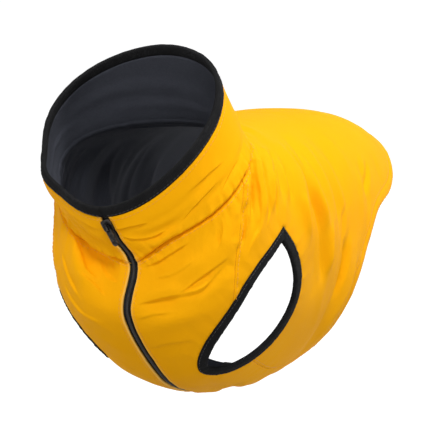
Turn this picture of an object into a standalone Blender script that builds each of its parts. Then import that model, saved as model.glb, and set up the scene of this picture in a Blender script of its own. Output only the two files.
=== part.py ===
"""Dog jacket: a sleeveless zip-front jacket with a stand-up collar, in the hollow form it has when worn.

Metres, +Z up. -Y is the front and +X the wearer's left. The origin is on the wearer's back, just
behind the neck, at the inside of the cloth, where the jacket hangs.

Every cloth piece is cut from one skin. A place on the skin has a station, from 0 at the rear end of
the back to 1 at the collar's seam and 1.25 at the collar's rim, and an angle in degrees, from 0 at the
spine to 180 at the zip by the wearer's left side and to -180 by the right. A piece is an outline in
those two numbers. It is filled with an even net, laid on the skin, and given its wall inwards.
"""

import math

import bmesh
import bpy
import numpy as np
from mathutils import Matrix, Vector
from mathutils.geometry import delaunay_2d_cdt

# Driving dimensions
BODY_WALL = 0.0020        # cloth of the back and the fronts
COLLAR_WALL = 0.0016      # outer cloth of the collar
LINING_WALL = 0.0012
LINING_UNDER = 0.0005     # how far the lining lies under the outer cloth
SEAM_GAP = 0.0003
ZIP_OPENING = 0.0066      # black strip that shows between the two yellow edges
BINDING_WIDTH = 0.0080
BINDING_PROUD = 0.0006    # how far a binding stands out from the cloth beside it
BINDING_INSIDE = 0.0034   # how far a binding reaches in from the skin
TAPE_WIDTH = 0.0120
TAPE_WALL = 0.0007
TAPE_UNDER = 0.0006       # how far a tape lies under the cloth
CHAIN_WIDTH = 0.0040
CHAIN_DEPTH = 0.0020
SLIDER_DROP = 0.0142      # the slider's middle, down from the rim
SLIDER_LENGTH = 0.0090
SLIDER_WIDTH = 0.0080
SLIDER_PLATE = 0.0011
SLIDER_CLEARANCE = 0.0005
BRIDGE_LENGTH = 0.0060
BRIDGE_WIDTH = 0.0020
BRIDGE_HOLE = 0.0034      # along the zip
BRIDGE_HEAD = 0.0018      # clear height under the bridge
BRIDGE_BAR = 0.0007
PULL_LENGTH = 0.0160
PULL_WIDTH = 0.0046
PULL_THICKNESS = 0.0010
PULL_WINDOW = 0.0044      # inner length of its eye, from the hinge line
STOP_LENGTH = 0.0060
RIM = 1.25
RIGHT_FORWARD = 0.022     # the right armhole's shift in station, and in degrees towards the spine
RIGHT_TURN = 4.0
RIGHT_LOW_TURN = 5.0      # more degrees at its lower front corner
ZIP_STIFF = 0.018         # folds die away over this length beside the zip
ANGLE_PITCH = 0.0017      # metres a degree, in the flat net
STATION_PITCH = 0.340     # metres a station, in the flat net
BODY_CELL = 0.0104
FRONT_CELL = 0.0084
COLLAR_CELL = 0.0124
ZIP_CELL = 0.0064

# The body's rings. Each lies in the plane of its top point, its low point and the X axis.
# fullness is the ring's exponent (2 is an ellipse), wide_high moves its width up, side_forward
# bows its sides towards the head, and tilt moves only its left side there and its right side back.
SECTION_COLUMNS = ("station", "top_x", "top_y", "top_z", "low_x", "low_y", "low_z",
                   "half_width", "fullness", "wide_high", "side_forward", "tilt")
SECTIONS = (
    (0.00, 0.000, 0.262, -0.015, 0.000, 0.128, -0.178, 0.0840, 2.35, 0.03, 0.000, 0.0000),
    (0.20, 0.000, 0.205, 0.001, 0.000, 0.090, -0.190, 0.0880, 2.40, 0.03, 0.000, 0.0000),
    (0.40, 0.000, 0.140, 0.006, 0.000, 0.040, -0.200, 0.0890, 2.40, 0.05, 0.000, 0.0000),
    (0.60, 0.000, 0.075, 0.005, 0.000, -0.025, -0.199, 0.0890, 2.30, 0.08, 0.000, 0.0000),
    (0.75, 0.000, 0.030, 0.004, 0.003, -0.084, -0.176, 0.0870, 2.25, 0.10, 0.000, 0.0000),
    (0.88, -0.004, 0.002, 0.003, -0.003, -0.124, -0.129, 0.0840, 2.28, 0.11, 0.006, 0.0000),
    (1.00, -0.009, -0.022, 0.006, -0.001, -0.118, -0.094, 0.0760, 1.95, 0.15, 0.019, 0.0000),
    (1.12, -0.011, -0.035, 0.033, -0.010, -0.127, -0.074, 0.0727, 1.98, 0.11, 0.013, 0.0013),
    (1.25, -0.0092, -0.050, 0.062, -0.019, -0.136, -0.0512, 0.0672, 1.88, 0.09, 0.008, 0.0040),
)

# The largest folds. Each runs from one place on the skin to another, with a sideways bend at its
# middle; width is its half width, and height is above the skin, or below it where negative.
FOLD_COLUMNS = ("from_station", "from_angle", "to_station", "to_angle", "bend", "width", "height")
FOLDS = (
    # drag folds on the left flank, from the back down behind the armhole
    (0.89, 46, 0.76, 80, 0.005, 0.0110, -0.0026),
    (0.81, 46, 0.69, 86, 0.006, 0.0110, 0.0026),
    (0.73, 40, 0.60, 100, 0.012, 0.0110, -0.0032),
    (0.65, 44, 0.53, 96, 0.008, 0.0120, 0.0026),
    (0.58, 42, 0.46, 82, 0.005, 0.0120, -0.0022),
    (0.47, 90, 0.42, 132, -0.004, 0.0110, -0.0032),
    (0.39, 92, 0.36, 126, -0.003, 0.0110, 0.0026),
    # beside the left shoulder seam
    (0.98, 74, 0.88, 118, 0.004, 0.0080, -0.0022),
    (0.95, 58, 0.88, 100, 0.003, 0.0090, 0.0020),
    # the left front's long crease and the roll under it
    (0.905, 172, 0.895, 122, -0.004, 0.0085, -0.0034),
    (0.855, 168, 0.855, 130, -0.003, 0.0120, 0.0022),
    # the right front: a pleat and the hollow beside the zip
    (0.98, -130, 0.93, -160, 0.002, 0.0080, 0.0024),
    (0.968, -150, 0.936, -170, 0.002, 0.0110, -0.0052),
    (0.95, -108, 0.88, -142, 0.003, 0.0100, -0.0026),
    (0.86, -122, 0.76, -152, 0.000, 0.0240, 0.0044),
    # the right flank, much as the left one
    (0.88, -44, 0.77, -80, -0.005, 0.0110, -0.0026),
    (0.80, -44, 0.68, -88, -0.007, 0.0110, 0.0026),
    (0.71, -42, 0.60, -98, -0.010, 0.0115, -0.0030),
    (0.62, -46, 0.52, -92, -0.005, 0.0120, 0.0024),
    (0.54, -42, 0.44, -80, -0.005, 0.0120, -0.0020),
    (0.45, -92, 0.40, -130, 0.004, 0.0110, -0.0028),
    (0.37, -90, 0.36, -124, 0.003, 0.0110, 0.0022),
    (0.96, -66, 0.87, -112, -0.004, 0.0085, -0.0022),
    # across the back behind the collar, and under the chest
    (0.94, -36, 0.93, 30, 0.004, 0.0110, -0.0018),
    (0.87, -26, 0.88, 38, -0.003, 0.0120, 0.0016),
    (0.68, 160, 0.46, 164, 0.004, 0.0110, -0.0022),
    (0.66, -158, 0.44, -162, -0.004, 0.0110, -0.0024),
    # the collar: creases by the zip, the flare of its right corner, and one across the nape
    (1.125, 170, 1.100, 130, 0.003, 0.0070, -0.0018),
    (1.090, -166, 1.100, -120, 0.003, 0.0070, -0.0018),
    (1.270, -126, 1.130, -124, 0.000, 0.0220, 0.0050),
    (1.120, -60, 1.100, 20, 0.004, 0.0090, -0.0016),
)

# The hem's station at each angle round the body, the same on both sides
HEM_COLUMNS = ("angle", "station")
HEM = ((0, 0.020), (35, 0.032), (54, 0.062), (64, 0.095), (71, 0.150), (76, 0.225),
       (86, 0.270), (104, 0.286), (125, 0.284), (150, 0.280), (180, 0.280))

# The collar seam's station at each angle. The head is turned, so it lies higher on the left front.
COLLAR_COLUMNS = ("angle", "station")
COLLAR_SEAM = ((-180, 1.007), (-165, 1.014), (-152, 1.001), (-138, 0.992), (-122, 0.984),
               (-108, 0.988), (-91, 1.000), (-60, 1.000), (60, 1.000), (91, 1.000), (108, 1.007),
               (122, 1.019), (138, 1.040), (152, 1.051), (165, 1.036), (180, 1.007))

# The armhole's cut edge as station and angle, from its top corner down the front, round the
# bottom and up the rear. The shoulder seam and the side seam end on two of these points.
ARMHOLE = ((0.820, 87), (0.832, 98), (0.840, 108), (0.839, 118), (0.830, 128), (0.817, 138),
           (0.798, 148), (0.769, 156), (0.735, 158), (0.702, 151), (0.676, 138), (0.660, 123),
           (0.665, 109), (0.700, 98), (0.760, 90))
SHOULDER_POINT = 4
SIDE_POINT = 10
SHOULDER_SEAM = ((1.000, 91), (0.945, 105), (0.880, 118))
SIDE_SEAM = ((0.520, 141), (0.380, 140), (0.2825, 139))

YELLOW = (0.93, 0.44, 0.012, 1)
BLACK = (0.012, 0.012, 0.013, 1)
NAVY = (0.035, 0.038, 0.055, 1)
METAL_BLACK = (0.02, 0.02, 0.021, 1)


def table(columns, rows):
    """The rows of a table as one array for each named column."""
    return dict(zip(columns, np.array(rows, float).T))


def smooth_values(x, y, at):
    """A smooth curve through the points x, y (y may hold several columns), read at the values in at."""
    step = np.diff(x)[:, None]
    slope = np.diff(y, axis=0) / step
    tangent = np.vstack([slope[:1],
                         (slope[:-1] * step[1:] + slope[1:] * step[:-1]) / (step[1:] + step[:-1]),
                         slope[-1:]])
    i = np.clip(np.searchsorted(x, at, side="right") - 1, 0, len(x) - 2)
    h = (x[i + 1] - x[i])[:, None]
    s = ((at - x[i]) / h[:, 0])[:, None]
    return ((2 * s**3 - 3 * s**2 + 1) * y[i] + (s**3 - 2 * s**2 + s) * h * tangent[i]
            + (3 * s**2 - 2 * s**3) * y[i + 1] + (s**3 - s**2) * h * tangent[i + 1])


def unit(v):
    return v / np.linalg.norm(v, axis=-1, keepdims=True)


def body_point(station, angle):
    """Points of the plain body, before its folds."""
    rows = np.array(SECTIONS)
    c = smooth_values(rows[:, 0], rows[:, 1:], station)
    top = c[:, 0:3]
    low = c[:, 3:6]
    half_width, fullness, wide_high, side_forward, tilt = c[:, 6:11].T
    cos = np.cos(np.radians(angle))
    sin = np.sin(np.radians(angle))
    reach = (np.abs(cos)**fullness + np.abs(sin)**fullness)**(-1 / fullness)
    point = (top + low) / 2 + (reach * cos)[:, None] * (top - low) / 2
    point[:, 0] += reach * sin * half_width * (1 + wide_high * cos)
    across = top - low
    forward = unit(np.stack([np.zeros(len(across)), -across[:, 2], across[:, 1]], axis=1))
    return point + forward * (side_forward * sin**2 + tilt * sin)[:, None]


def flat(station, angle):
    """The place in the flat net: across, then along."""
    return np.stack([np.asarray(angle) * ANGLE_PITCH, np.asarray(station) * STATION_PITCH], axis=-1)


def fold_height(station, angle):
    """How far the folds lift or sink the skin."""
    folds = table(FOLD_COLUMNS, FOLDS)
    place = flat(station, angle)
    height = np.zeros(len(place))
    for k in range(len(FOLDS)):
        start = flat(folds["from_station"][k], folds["from_angle"][k])
        run = flat(folds["to_station"][k], folds["to_angle"][k]) - start
        length = np.linalg.norm(run)
        run = run / length
        along = (place - start) @ run / length
        beside = (place - start) @ np.array([-run[1], run[0]])
        inside = np.clip(along, 0, 1)
        beside = beside - folds["bend"][k] * 4 * inside * (1 - inside)
        past = (along - inside) * length
        fade = np.sin(np.pi * np.clip(0.12 + 0.76 * inside, 0, 1))**0.7
        spread = (beside**2 + past**2) / folds["width"][k]**2
        height += folds["height"][k] * fade * np.exp(-spread)
    from_zip = (180 - np.abs(angle)) * ANGLE_PITCH
    return height * (1 - np.exp(-(from_zip / ZIP_STIFF)**2))


def skin(station, angle, depth=0.0):
    """Points at a depth below the skin, measured along its normal, and the outward normals."""
    station, angle, depth = np.broadcast_arrays(
        np.atleast_1d(np.asarray(station, float)), np.asarray(angle, float), np.asarray(depth, float))
    small_station = 0.004
    small_angle = 0.8

    def folded(s, a):
        turned = (a + 180) % 360 - 180
        base = body_point(s, a)
        out = np.cross(body_point(s + 1e-3, a) - base, body_point(s, a + 0.1) - base)
        return base + unit(out) * fold_height(s, turned)[:, None]

    along = folded(station + small_station, angle) - folded(station - small_station, angle)
    around = folded(station, angle + small_angle) - folded(station, angle - small_angle)
    normal = unit(np.cross(along, around))
    return folded(station, angle) - normal * depth[:, None], normal


def read_edge(columns, rows, angle):
    """Reads an edge's station at each angle from its table."""
    edge = table(columns, rows)
    return smooth_values(edge["angle"], edge["station"][:, None], np.atleast_1d(angle))[:, 0]


def hem_station(angle):
    return read_edge(HEM_COLUMNS, HEM, np.abs(angle))


def seam_station(angle):
    return read_edge(COLLAR_COLUMNS, COLLAR_SEAM, angle)


def smooth_ring(points, per_side):
    """A smooth closed curve with its one corner at its first point, with per_side steps from
    each point to the next."""
    ring = np.array(list(points) + [points[0]], float)
    x = np.arange(len(ring), dtype=float)
    return smooth_values(x, ring, np.arange(0, len(ring) - 1, 1 / per_side))


def smooth_run(points, pitch):
    """A smooth curve through the points, in steps of about pitch metres in the flat net."""
    line = np.array(points, float)
    length = np.linalg.norm(np.diff(flat(line[:, 0], line[:, 1]), axis=0), axis=1)
    x = np.concatenate([[0], np.cumsum(length)])
    count = max(1, round(x[-1] / pitch))
    return smooth_values(x, line, np.linspace(0, x[-1], count + 1))


def mirrored(curve):
    """The same curve on the wearer's right side, where the armhole sits a little farther forward."""
    station, angle = curve.T
    near = np.clip(1 - ((station - 0.77) / 0.20)**2, 0, 1)**2 * np.clip((180 - angle) / 22, 0, 1)
    turn = RIGHT_TURN + RIGHT_LOW_TURN * np.clip((angle - 132) / 20, 0, 1)
    return np.stack([station + near * RIGHT_FORWARD, near * turn - angle], axis=1)


def armhole_stretches():
    """The left armhole's edge in three stretches: corner to shoulder seam, on to side seam, back up."""
    per_side = 2
    ring = smooth_ring(ARMHOLE, per_side)
    ring = np.vstack([ring, ring[:1]])
    shoulder = SHOULDER_POINT * per_side
    side = SIDE_POINT * per_side
    return ring[:shoulder + 1], ring[shoulder:side + 1], ring[side:]


def collar_scale(angle):
    """Metres of collar height for each unit of station, at each angle."""
    rim = skin(np.full(len(angle), RIM), angle)[0]
    middle = skin(np.full(len(angle), RIM - 0.08), angle)[0]
    return np.linalg.norm(rim - middle, axis=1) / 0.08


def below_rim(angle, drop):
    """The stations that lie a length below the rim."""
    angle = np.atleast_1d(np.asarray(angle, float))
    return RIM - drop / collar_scale(angle)


def zip_angle(station, aside):
    """The angle that lies a length aside from the zip's middle, to the left where positive."""
    station = np.atleast_1d(np.asarray(station, float))
    pitch = np.linalg.norm(body_point(station, 181.0) - body_point(station, 179.0), axis=1) / 2
    return 180.0 - aside / pitch


def fill_outline(outline, cell):
    """Fills a closed outline of stations and angles with an even net of triangles.
    Returns the net's places, its triangles, and where each outline point is in it."""
    edge = flat(outline[:, 0], outline[:, 1])
    low = edge.min(axis=0)
    high = edge.max(axis=0)
    row_pitch = cell * math.sqrt(3) / 2
    inner = []
    for row in range(math.ceil(low[1] / row_pitch), math.floor(high[1] / row_pitch) + 1):
        shift = 0.5 * (row % 2)
        for column in range(math.floor(low[0] / cell), math.ceil(high[0] / cell) + 1):
            inner.append(((column + shift) * cell, row * row_pitch))
    inner = np.array(inner)
    a = edge
    b = np.roll(edge, -1, axis=0)
    crossings = np.zeros(len(inner), int)
    nearest = np.full(len(inner), np.inf)
    for p, q in zip(a, b):
        spans = (p[1] > inner[:, 1]) != (q[1] > inner[:, 1])
        rise = q[1] - p[1] if q[1] != p[1] else 1.0
        left = inner[:, 0] < p[0] + (inner[:, 1] - p[1]) / rise * (q[0] - p[0])
        crossings += (spans & left).astype(int)
        run = q - p
        part = np.clip((inner - p) @ run / (run @ run), 0, 1)
        nearest = np.minimum(nearest, np.linalg.norm(inner - p - part[:, None] * run, axis=1))
    inner = inner[(crossings % 2 == 1) & (nearest > 0.62 * cell)]
    points = [Vector(p) for p in np.vstack([edge, inner])]
    made = delaunay_2d_cdt(points, [], [list(range(len(edge)))], 1, 1e-7)
    places = np.array([tuple(p) for p in made[0]])
    at = np.zeros(len(edge), int)
    for new, old in enumerate(made[3]):
        for k in old:
            if k < len(edge):
                at[k] = new
    net = np.stack([places[:, 1] / STATION_PITCH, places[:, 0] / ANGLE_PITCH], axis=1)
    return net, [list(f) for f in made[2]], at


def setbacks(corners, normals, distance):
    """How far each outline point moves in, for its edges to lie back by their own distances."""
    forward = unit(np.roll(corners, -1, axis=0) - corners)
    inward = unit(np.cross(forward, normals))
    before = np.roll(inward, 1, axis=0)
    near = np.roll(distance, 1)
    cos = np.sum(inward * before, axis=1)
    sin2 = np.maximum(1 - cos**2, 1e-9)
    first = np.where(sin2 > 0.05, (distance - near * cos) / sin2, distance / (1 + cos))
    second = np.where(sin2 > 0.05, (near - distance * cos) / sin2, distance / (1 + cos))
    return inward * first[:, None] + before * second[:, None]


def new_object(name, mesh, colour, roughness, metallic=0.0):
    """An object in the jacket's collection with its own material."""
    material = bpy.data.materials.new(name)
    material.use_nodes = True
    shader = material.node_tree.nodes["Principled BSDF"]
    shader.inputs["Base Color"].default_value = colour
    shader.inputs["Roughness"].default_value = roughness
    shader.inputs["Metallic"].default_value = metallic
    mesh.materials.append(material)
    made = bpy.data.objects.new(name, mesh)
    jacket.objects.link(made)
    return made


def closed_mesh(name, points, faces):
    """A mesh from points and faces, with its faces turned to point out."""
    bm = bmesh.new()
    corners = [bm.verts.new(p) for p in points]
    for face in faces:
        bm.faces.new([corners[k] for k in face])
    bmesh.ops.recalc_face_normals(bm, faces=bm.faces)
    mesh = bpy.data.meshes.new(name)
    bm.to_mesh(mesh)
    bm.free()
    mesh.shade_smooth()
    mesh.set_sharp_from_angle(angle=math.radians(50))
    return mesh


def cloth_piece(name, stretches, cell, top_depth, wall, colour, roughness):
    """A cut piece of cloth: its outline is a list of (curve, setback), and its wall lies between
    two depths below the skin. Both walls come from the skin itself, because Solidify would tilt
    each piece's edge by its own faces and close the gap at the seams."""
    outline = np.vstack([curve[:-1] for curve, setback in stretches])
    distance = np.concatenate([np.full(len(curve) - 1, setback) for curve, setback in stretches])
    turns = flat(outline[:, 0], outline[:, 1])
    area = np.sum(turns[:, 0] * np.roll(turns[:, 1], -1) - turns[:, 1] * np.roll(turns[:, 0], -1))
    if area < 0:
        outline = outline[::-1]
        distance = np.roll(distance[::-1], -1)
    net, triangles, edge = fill_outline(outline, cell)
    outside, normal = skin(net[:, 0], net[:, 1], top_depth)
    inside = outside - normal * wall
    move = setbacks(outside[edge], normal[edge], distance)
    outside[edge] += move
    inside[edge] += move
    count = len(net)
    faces = [f[::-1] for f in triangles] + [[k + count for k in f] for f in triangles]
    for k in range(len(edge)):
        a = int(edge[k])
        b = int(edge[(k + 1) % len(edge)])
        faces.append([a, b, b + count, a + count])
    return new_object(name, closed_mesh(name, np.vstack([outside, inside]), faces), colour, roughness)


def band(name, rail_a, rail_b, section, closed, colour, roughness):
    """A strip swept between two rails on the skin. Each point of its section has a part of the way
    from the first rail to the second, and a depth below the skin."""
    rings = []
    for part, depth in section:
        place = rail_a + (rail_b - rail_a) * part
        rings.append(skin(place[:, 0], place[:, 1], depth)[0])
    points = np.stack(rings, axis=1)
    count, sides = points.shape[:2]
    faces = []
    for k in range(count if closed else count - 1):
        here = k * sides
        there = (k + 1) % count * sides
        for j in range(sides):
            i = (j + 1) % sides
            faces.append([here + j, here + i, there + i, there + j])
    if not closed:
        faces.append(list(range(sides)))
        faces.append([(count - 1) * sides + j for j in range(sides)])
    return new_object(name, closed_mesh(name, points.reshape(-1, 3), faces), colour, roughness)


def binding_section(first):
    """A rounded strip: its outside, its free edge, its inside, and the edge against the cloth."""
    return ((first, -BINDING_PROUD * 0.6), (0.20, -BINDING_PROUD), (0.80, -BINDING_PROUD),
            (1.00, 0.0006), (1.00, BINDING_INSIDE - 0.0010), (0.82, BINDING_INSIDE),
            (0.20, BINDING_INSIDE), (first, BINDING_INSIDE - 0.0004))


def collar_seam():
    """The seam under the collar: over the nape, and from each shoulder to the zip, left then right."""
    shoulder = SHOULDER_SEAM[0][1]
    nape = np.linspace(-shoulder, shoulder, 27)
    throat = np.linspace(shoulder, 180, 14)
    return [np.stack([seam_station(angle), angle], axis=1) for angle in (nape, throat, -throat)]


def body_pieces():
    """The back and the two fronts."""
    half_gap = SEAM_GAP / 2
    upper, lower, rear = armhole_stretches()
    shoulder = smooth_run(SHOULDER_SEAM + (ARMHOLE[SHOULDER_POINT],), BODY_CELL)
    side = smooth_run((ARMHOLE[SIDE_POINT],) + SIDE_SEAM, BODY_CELL)
    side[-1, 0] = hem_station(side[-1, 1])[0]
    steps = round(2 * side[-1, 1] * ANGLE_PITCH / BODY_CELL)
    hem_angle = np.linspace(side[-1, 1], -side[-1, 1], steps + 1)
    hem = np.stack([hem_station(hem_angle), hem_angle], axis=1)
    nape, throat, right_throat = collar_seam()
    cloth_piece("back_panel", [
        (nape, half_gap), (shoulder, half_gap), (upper[::-1], half_gap), (rear[::-1], half_gap),
        (side, half_gap), (hem, 0.0), (mirrored(side)[::-1], half_gap), (mirrored(rear), half_gap),
        (mirrored(upper), half_gap), (mirrored(shoulder)[::-1], half_gap),
    ], BODY_CELL, 0.0, BODY_WALL, YELLOW, 0.6)
    belly_angle = np.linspace(side[-1, 1], 180, 9)
    belly = np.stack([hem_station(belly_angle), belly_angle], axis=1)
    zip_edge = smooth_run(((belly[-1, 0], 180), (0.6, 180), throat[-1]), FRONT_CELL)
    front = [(shoulder, half_gap), (lower, half_gap), (side, half_gap), (belly, 0.0),
             (zip_edge, ZIP_OPENING / 2)]
    cloth_piece("chest_left", [(throat[::-1], half_gap)] + front, FRONT_CELL, 0.0, BODY_WALL, YELLOW, 0.6)
    right_front = [(mirrored(curve), setback) for curve, setback in front]
    cloth_piece("chest_right", [(right_throat[::-1], half_gap)] + right_front, FRONT_CELL, 0.0, BODY_WALL,
                YELLOW, 0.6)


def collar_pieces():
    """The collar, its lining, and the binding on its rim."""
    nape, throat, right_throat = collar_seam()
    seam = np.vstack([right_throat[::-1], nape[1:-1], throat])
    angle = seam[:, 1]
    top = np.stack([below_rim(angle, BINDING_WIDTH), angle], axis=1)
    left_end = smooth_run((seam[-1], top[-1]), COLLAR_CELL)
    right_end = smooth_run((top[0], seam[0]), COLLAR_CELL)
    cloth_piece("collar", [
        (seam, SEAM_GAP / 2), (left_end, ZIP_OPENING / 2), (top[::-1], SEAM_GAP / 2),
        (right_end, ZIP_OPENING / 2),
    ], COLLAR_CELL, 0.0, COLLAR_WALL, YELLOW, 0.6)
    ends = zip_angle([seam[-1, 0], top[-1, 0]], TAPE_WIDTH + 2 * SEAM_GAP)
    inner = [angle[np.abs(angle) < end - 2] for end in ends]
    inner = [np.concatenate([[-end], mid, [end]]) for mid, end in zip(inner, ends)]
    bottom = np.stack([seam_station(inner[0]), inner[0]], axis=1)
    top = np.stack([below_rim(inner[1], BINDING_WIDTH), inner[1]], axis=1)
    left_end = smooth_run((bottom[-1], top[-1]), COLLAR_CELL)
    right_end = smooth_run((top[0], bottom[0]), COLLAR_CELL)
    cloth_piece("collar_lining", [
        (bottom, SEAM_GAP / 2), (left_end, 0.0), (top[::-1], SEAM_GAP / 2), (right_end, 0.0),
    ], COLLAR_CELL, COLLAR_WALL + LINING_UNDER, LINING_WALL, NAVY, 0.8)
    end = zip_angle(RIM, 0.0005)[0]
    angle = np.concatenate([[-end], angle[1:-1], [end]])
    lower_rail = np.stack([below_rim(angle, BINDING_WIDTH), angle], axis=1)
    rim_rail = np.stack([np.full(len(angle), RIM), angle], axis=1)
    section = binding_section(SEAM_GAP / 2 / BINDING_WIDTH)
    band("collar_binding", lower_rail, rim_rail, section, False, BLACK, 0.75)


def armhole_bindings():
    """The black strips that finish the two armholes, inside the panels' cut edges."""
    per_side = 2
    corners = np.array(ARMHOLE, float)
    scale = []
    for station, angle in corners:
        here = body_point(np.array([station]), np.array([angle]))
        up = body_point(np.array([station + 0.01]), np.array([angle]))
        on = body_point(np.array([station]), np.array([angle + 1.0]))
        scale.append((np.linalg.norm(up - here) / 0.01, np.linalg.norm(on - here)))
    local = corners * np.array(scale).mean(axis=0)
    forward = unit(np.roll(local, -1, axis=0) - local)
    backward = np.roll(forward, 1, axis=0)
    inward = np.stack([-forward[:, 1], forward[:, 0]], axis=1)
    centre = local.mean(axis=0)
    if np.sum(inward[8] * (centre - local[8])) < 0:
        inward = -inward
    other = np.roll(inward, 1, axis=0)
    bisector = unit(inward + other)
    miter = np.minimum(1 / np.sum(bisector * inward, axis=1), 1.9)
    inner = corners + bisector * miter[:, None] * BINDING_WIDTH / np.array(scale).mean(axis=0)
    outer_rail = smooth_ring(ARMHOLE, per_side)
    inner_rail = smooth_ring(inner, per_side)
    first = SEAM_GAP / 2 / BINDING_WIDTH
    section = binding_section(first)
    band("armhole_binding_left", outer_rail, inner_rail, section, True, BLACK, 0.75)
    band("armhole_binding_right", mirrored(outer_rail), mirrored(inner_rail), section, True, BLACK, 0.75)


def zip_stations(start, end, pitch):
    """Stations along the zip, in even steps of about pitch metres."""
    fine = np.linspace(start, end, 200)
    line = skin(fine, 180.0)[0]
    length = np.concatenate([[0], np.cumsum(np.linalg.norm(np.diff(line, axis=0), axis=1))])
    count = max(1, round(length[-1] / pitch))
    return np.interp(np.linspace(0, length[-1], count + 1), length, fine)


def zip_frame(station):
    """The place and the axes on the zip's middle line: X across to the left, Y up the zip, Z out."""
    point, normal = skin(station, 180.0)
    ahead = skin(station + 0.004, 180.0)[0] - skin(station - 0.004, 180.0)[0]
    out = Vector(normal[0])
    up = Vector(ahead[0])
    up = (up - out * up.dot(out)).normalized()
    across = up.cross(out)
    return Matrix.Translation(Vector(point[0])) @ Matrix((across, up, out)).transposed().to_4x4()


def zip_pieces():
    """The tapes, the closed chain, the lower stop, the slider and its pull."""
    tape_top = BODY_WALL + TAPE_UNDER
    hem = hem_station(180.0)[0]
    top = below_rim(180.0, BINDING_WIDTH + SEAM_GAP)[0]
    slider_at = below_rim(180.0, SLIDER_DROP)[0]
    per_metre = 1 / collar_scale(np.array([180.0]))[0]
    stop_at = hem + 0.022
    chain_end = slider_at + 0.0008 * per_metre
    opens_at = slider_at - 0.0012 * per_metre
    closed = zip_stations(stop_at, opens_at, ZIP_CELL)
    stations = np.concatenate([zip_stations(hem + 0.003, stop_at, ZIP_CELL)[:-1], closed,
                               zip_stations(chain_end, top, 0.0040)])
    inner_edge = np.where(stations > opens_at, 0.0014, SEAM_GAP / 2)
    for name, sign in (("zip_tape_left", 1), ("zip_tape_right", -1)):
        rail_a = np.stack([stations, sign * zip_angle(stations, inner_edge)], axis=1)
        rail_b = np.stack([stations, sign * zip_angle(stations, TAPE_WIDTH)], axis=1)
        section = ((0, tape_top), (0.5, tape_top), (1, tape_top), (1, tape_top + TAPE_WALL),
                   (0.5, tape_top + TAPE_WALL), (0, tape_top + TAPE_WALL))
        band(name, rail_a, rail_b, section, False, BLACK, 0.8)
    chain = np.append(closed, chain_end)
    rail_a = np.stack([chain, zip_angle(chain, -CHAIN_WIDTH / 2)], axis=1)
    rail_b = np.stack([chain, zip_angle(chain, CHAIN_WIDTH / 2)], axis=1)
    floor = tape_top - SEAM_GAP
    roof = floor - CHAIN_DEPTH
    section = ((0, roof + 0.0007), (0.25, roof), (0.75, roof), (1, roof + 0.0007), (1, floor), (0, floor))
    band("zip_chain", rail_a, rail_b, section, False, BLACK, 0.5)
    add_stop(stop_at, floor, roof)
    add_slider(zip_frame(slider_at), tape_top)


def box(low, high, bevel=0.0):
    """A closed box between two corners, with its long edges rounded by bevel."""
    bm = bmesh.new()
    bmesh.ops.create_cube(bm, size=1.0)
    middle = (Vector(low) + Vector(high)) / 2
    size = Vector(high) - Vector(low)
    for corner in bm.verts:
        corner.co = Vector(corner.co[k] * size[k] + middle[k] for k in range(3))
    if bevel:
        upright = [e for e in bm.edges if abs(e.verts[0].co.z - e.verts[1].co.z) > 1e-6]
        bmesh.ops.bevel(bm, geom=upright, offset=bevel, segments=3, affect="EDGES", profile=0.5)
    mesh = bpy.data.meshes.new("box")
    bm.to_mesh(mesh)
    bm.free()
    return mesh


def join_to(target, meshes):
    """Joins more closed meshes to an object with Boolean unions."""
    for k, mesh in enumerate(meshes):
        tool = bpy.data.objects.new(f"{target.name}_tool_{k}", mesh)
        tool.matrix_world = target.matrix_world
        tool.hide_render = True
        tool.display_type = "WIRE"
        tools.objects.link(tool)
        union = target.modifiers.new(f"union_{k}", "BOOLEAN")
        union.operation = "UNION"
        union.object = tool


def cut_from(target, mesh):
    """Cuts a closed mesh out of an object."""
    tool = bpy.data.objects.new(f"{target.name}_cutter", mesh)
    tool.matrix_world = target.matrix_world
    tool.hide_render = True
    tool.display_type = "WIRE"
    tools.objects.link(tool)
    cut = target.modifiers.new("cut", "BOOLEAN")
    cut.operation = "DIFFERENCE"
    cut.object = tool


def add_stop(station, floor, roof):
    """The block that closes the zip's lower end, on the tapes and clear of the chain."""
    half = CHAIN_WIDTH / 2 + 0.0006
    low = (-half, -STOP_LENGTH - SEAM_GAP, -floor)
    high = (half, -SEAM_GAP, -roof + 0.0003)
    stop = new_object("zip_stop", box(low, high, 0.0008), BLACK, 0.45)
    stop.matrix_world = zip_frame(station)


def add_slider(frame, tape_top):
    """The slider: two plates joined by a post above the last teeth, with a bridge for the pull."""
    half_length = SLIDER_LENGTH / 2
    half_width = SLIDER_WIDTH / 2
    plate_low = SLIDER_CLEARANCE
    plate_high = plate_low + SLIDER_PLATE
    under = -(tape_top + TAPE_WALL + SLIDER_CLEARANCE)
    overlap = 0.0002
    slider = new_object("zip_slider", box((-half_width, -half_length, plate_low),
                                          (half_width, half_length, plate_high), 0.0016),
                        METAL_BLACK, 0.35, 0.6)
    slider.matrix_world = frame
    bridge_top = plate_high + BRIDGE_HEAD + BRIDGE_BAR
    join_to(slider, [
        box((-half_width, -half_length, under - SLIDER_PLATE), (half_width, half_length, under), 0.0016),
        box((-0.0009, 0.0014, under - overlap), (0.0009, half_length - 0.0006, plate_low + overlap)),
        box((-BRIDGE_WIDTH / 2, -BRIDGE_LENGTH / 2, plate_high - overlap),
            (BRIDGE_WIDTH / 2, BRIDGE_LENGTH / 2, bridge_top)),
    ])
    cut_from(slider, box((-BRIDGE_WIDTH, -BRIDGE_HOLE / 2, plate_high),
                         (BRIDGE_WIDTH, BRIDGE_HOLE / 2, plate_high + BRIDGE_HEAD)))
    add_pull(frame, plate_high + BRIDGE_HEAD / 2)


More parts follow.
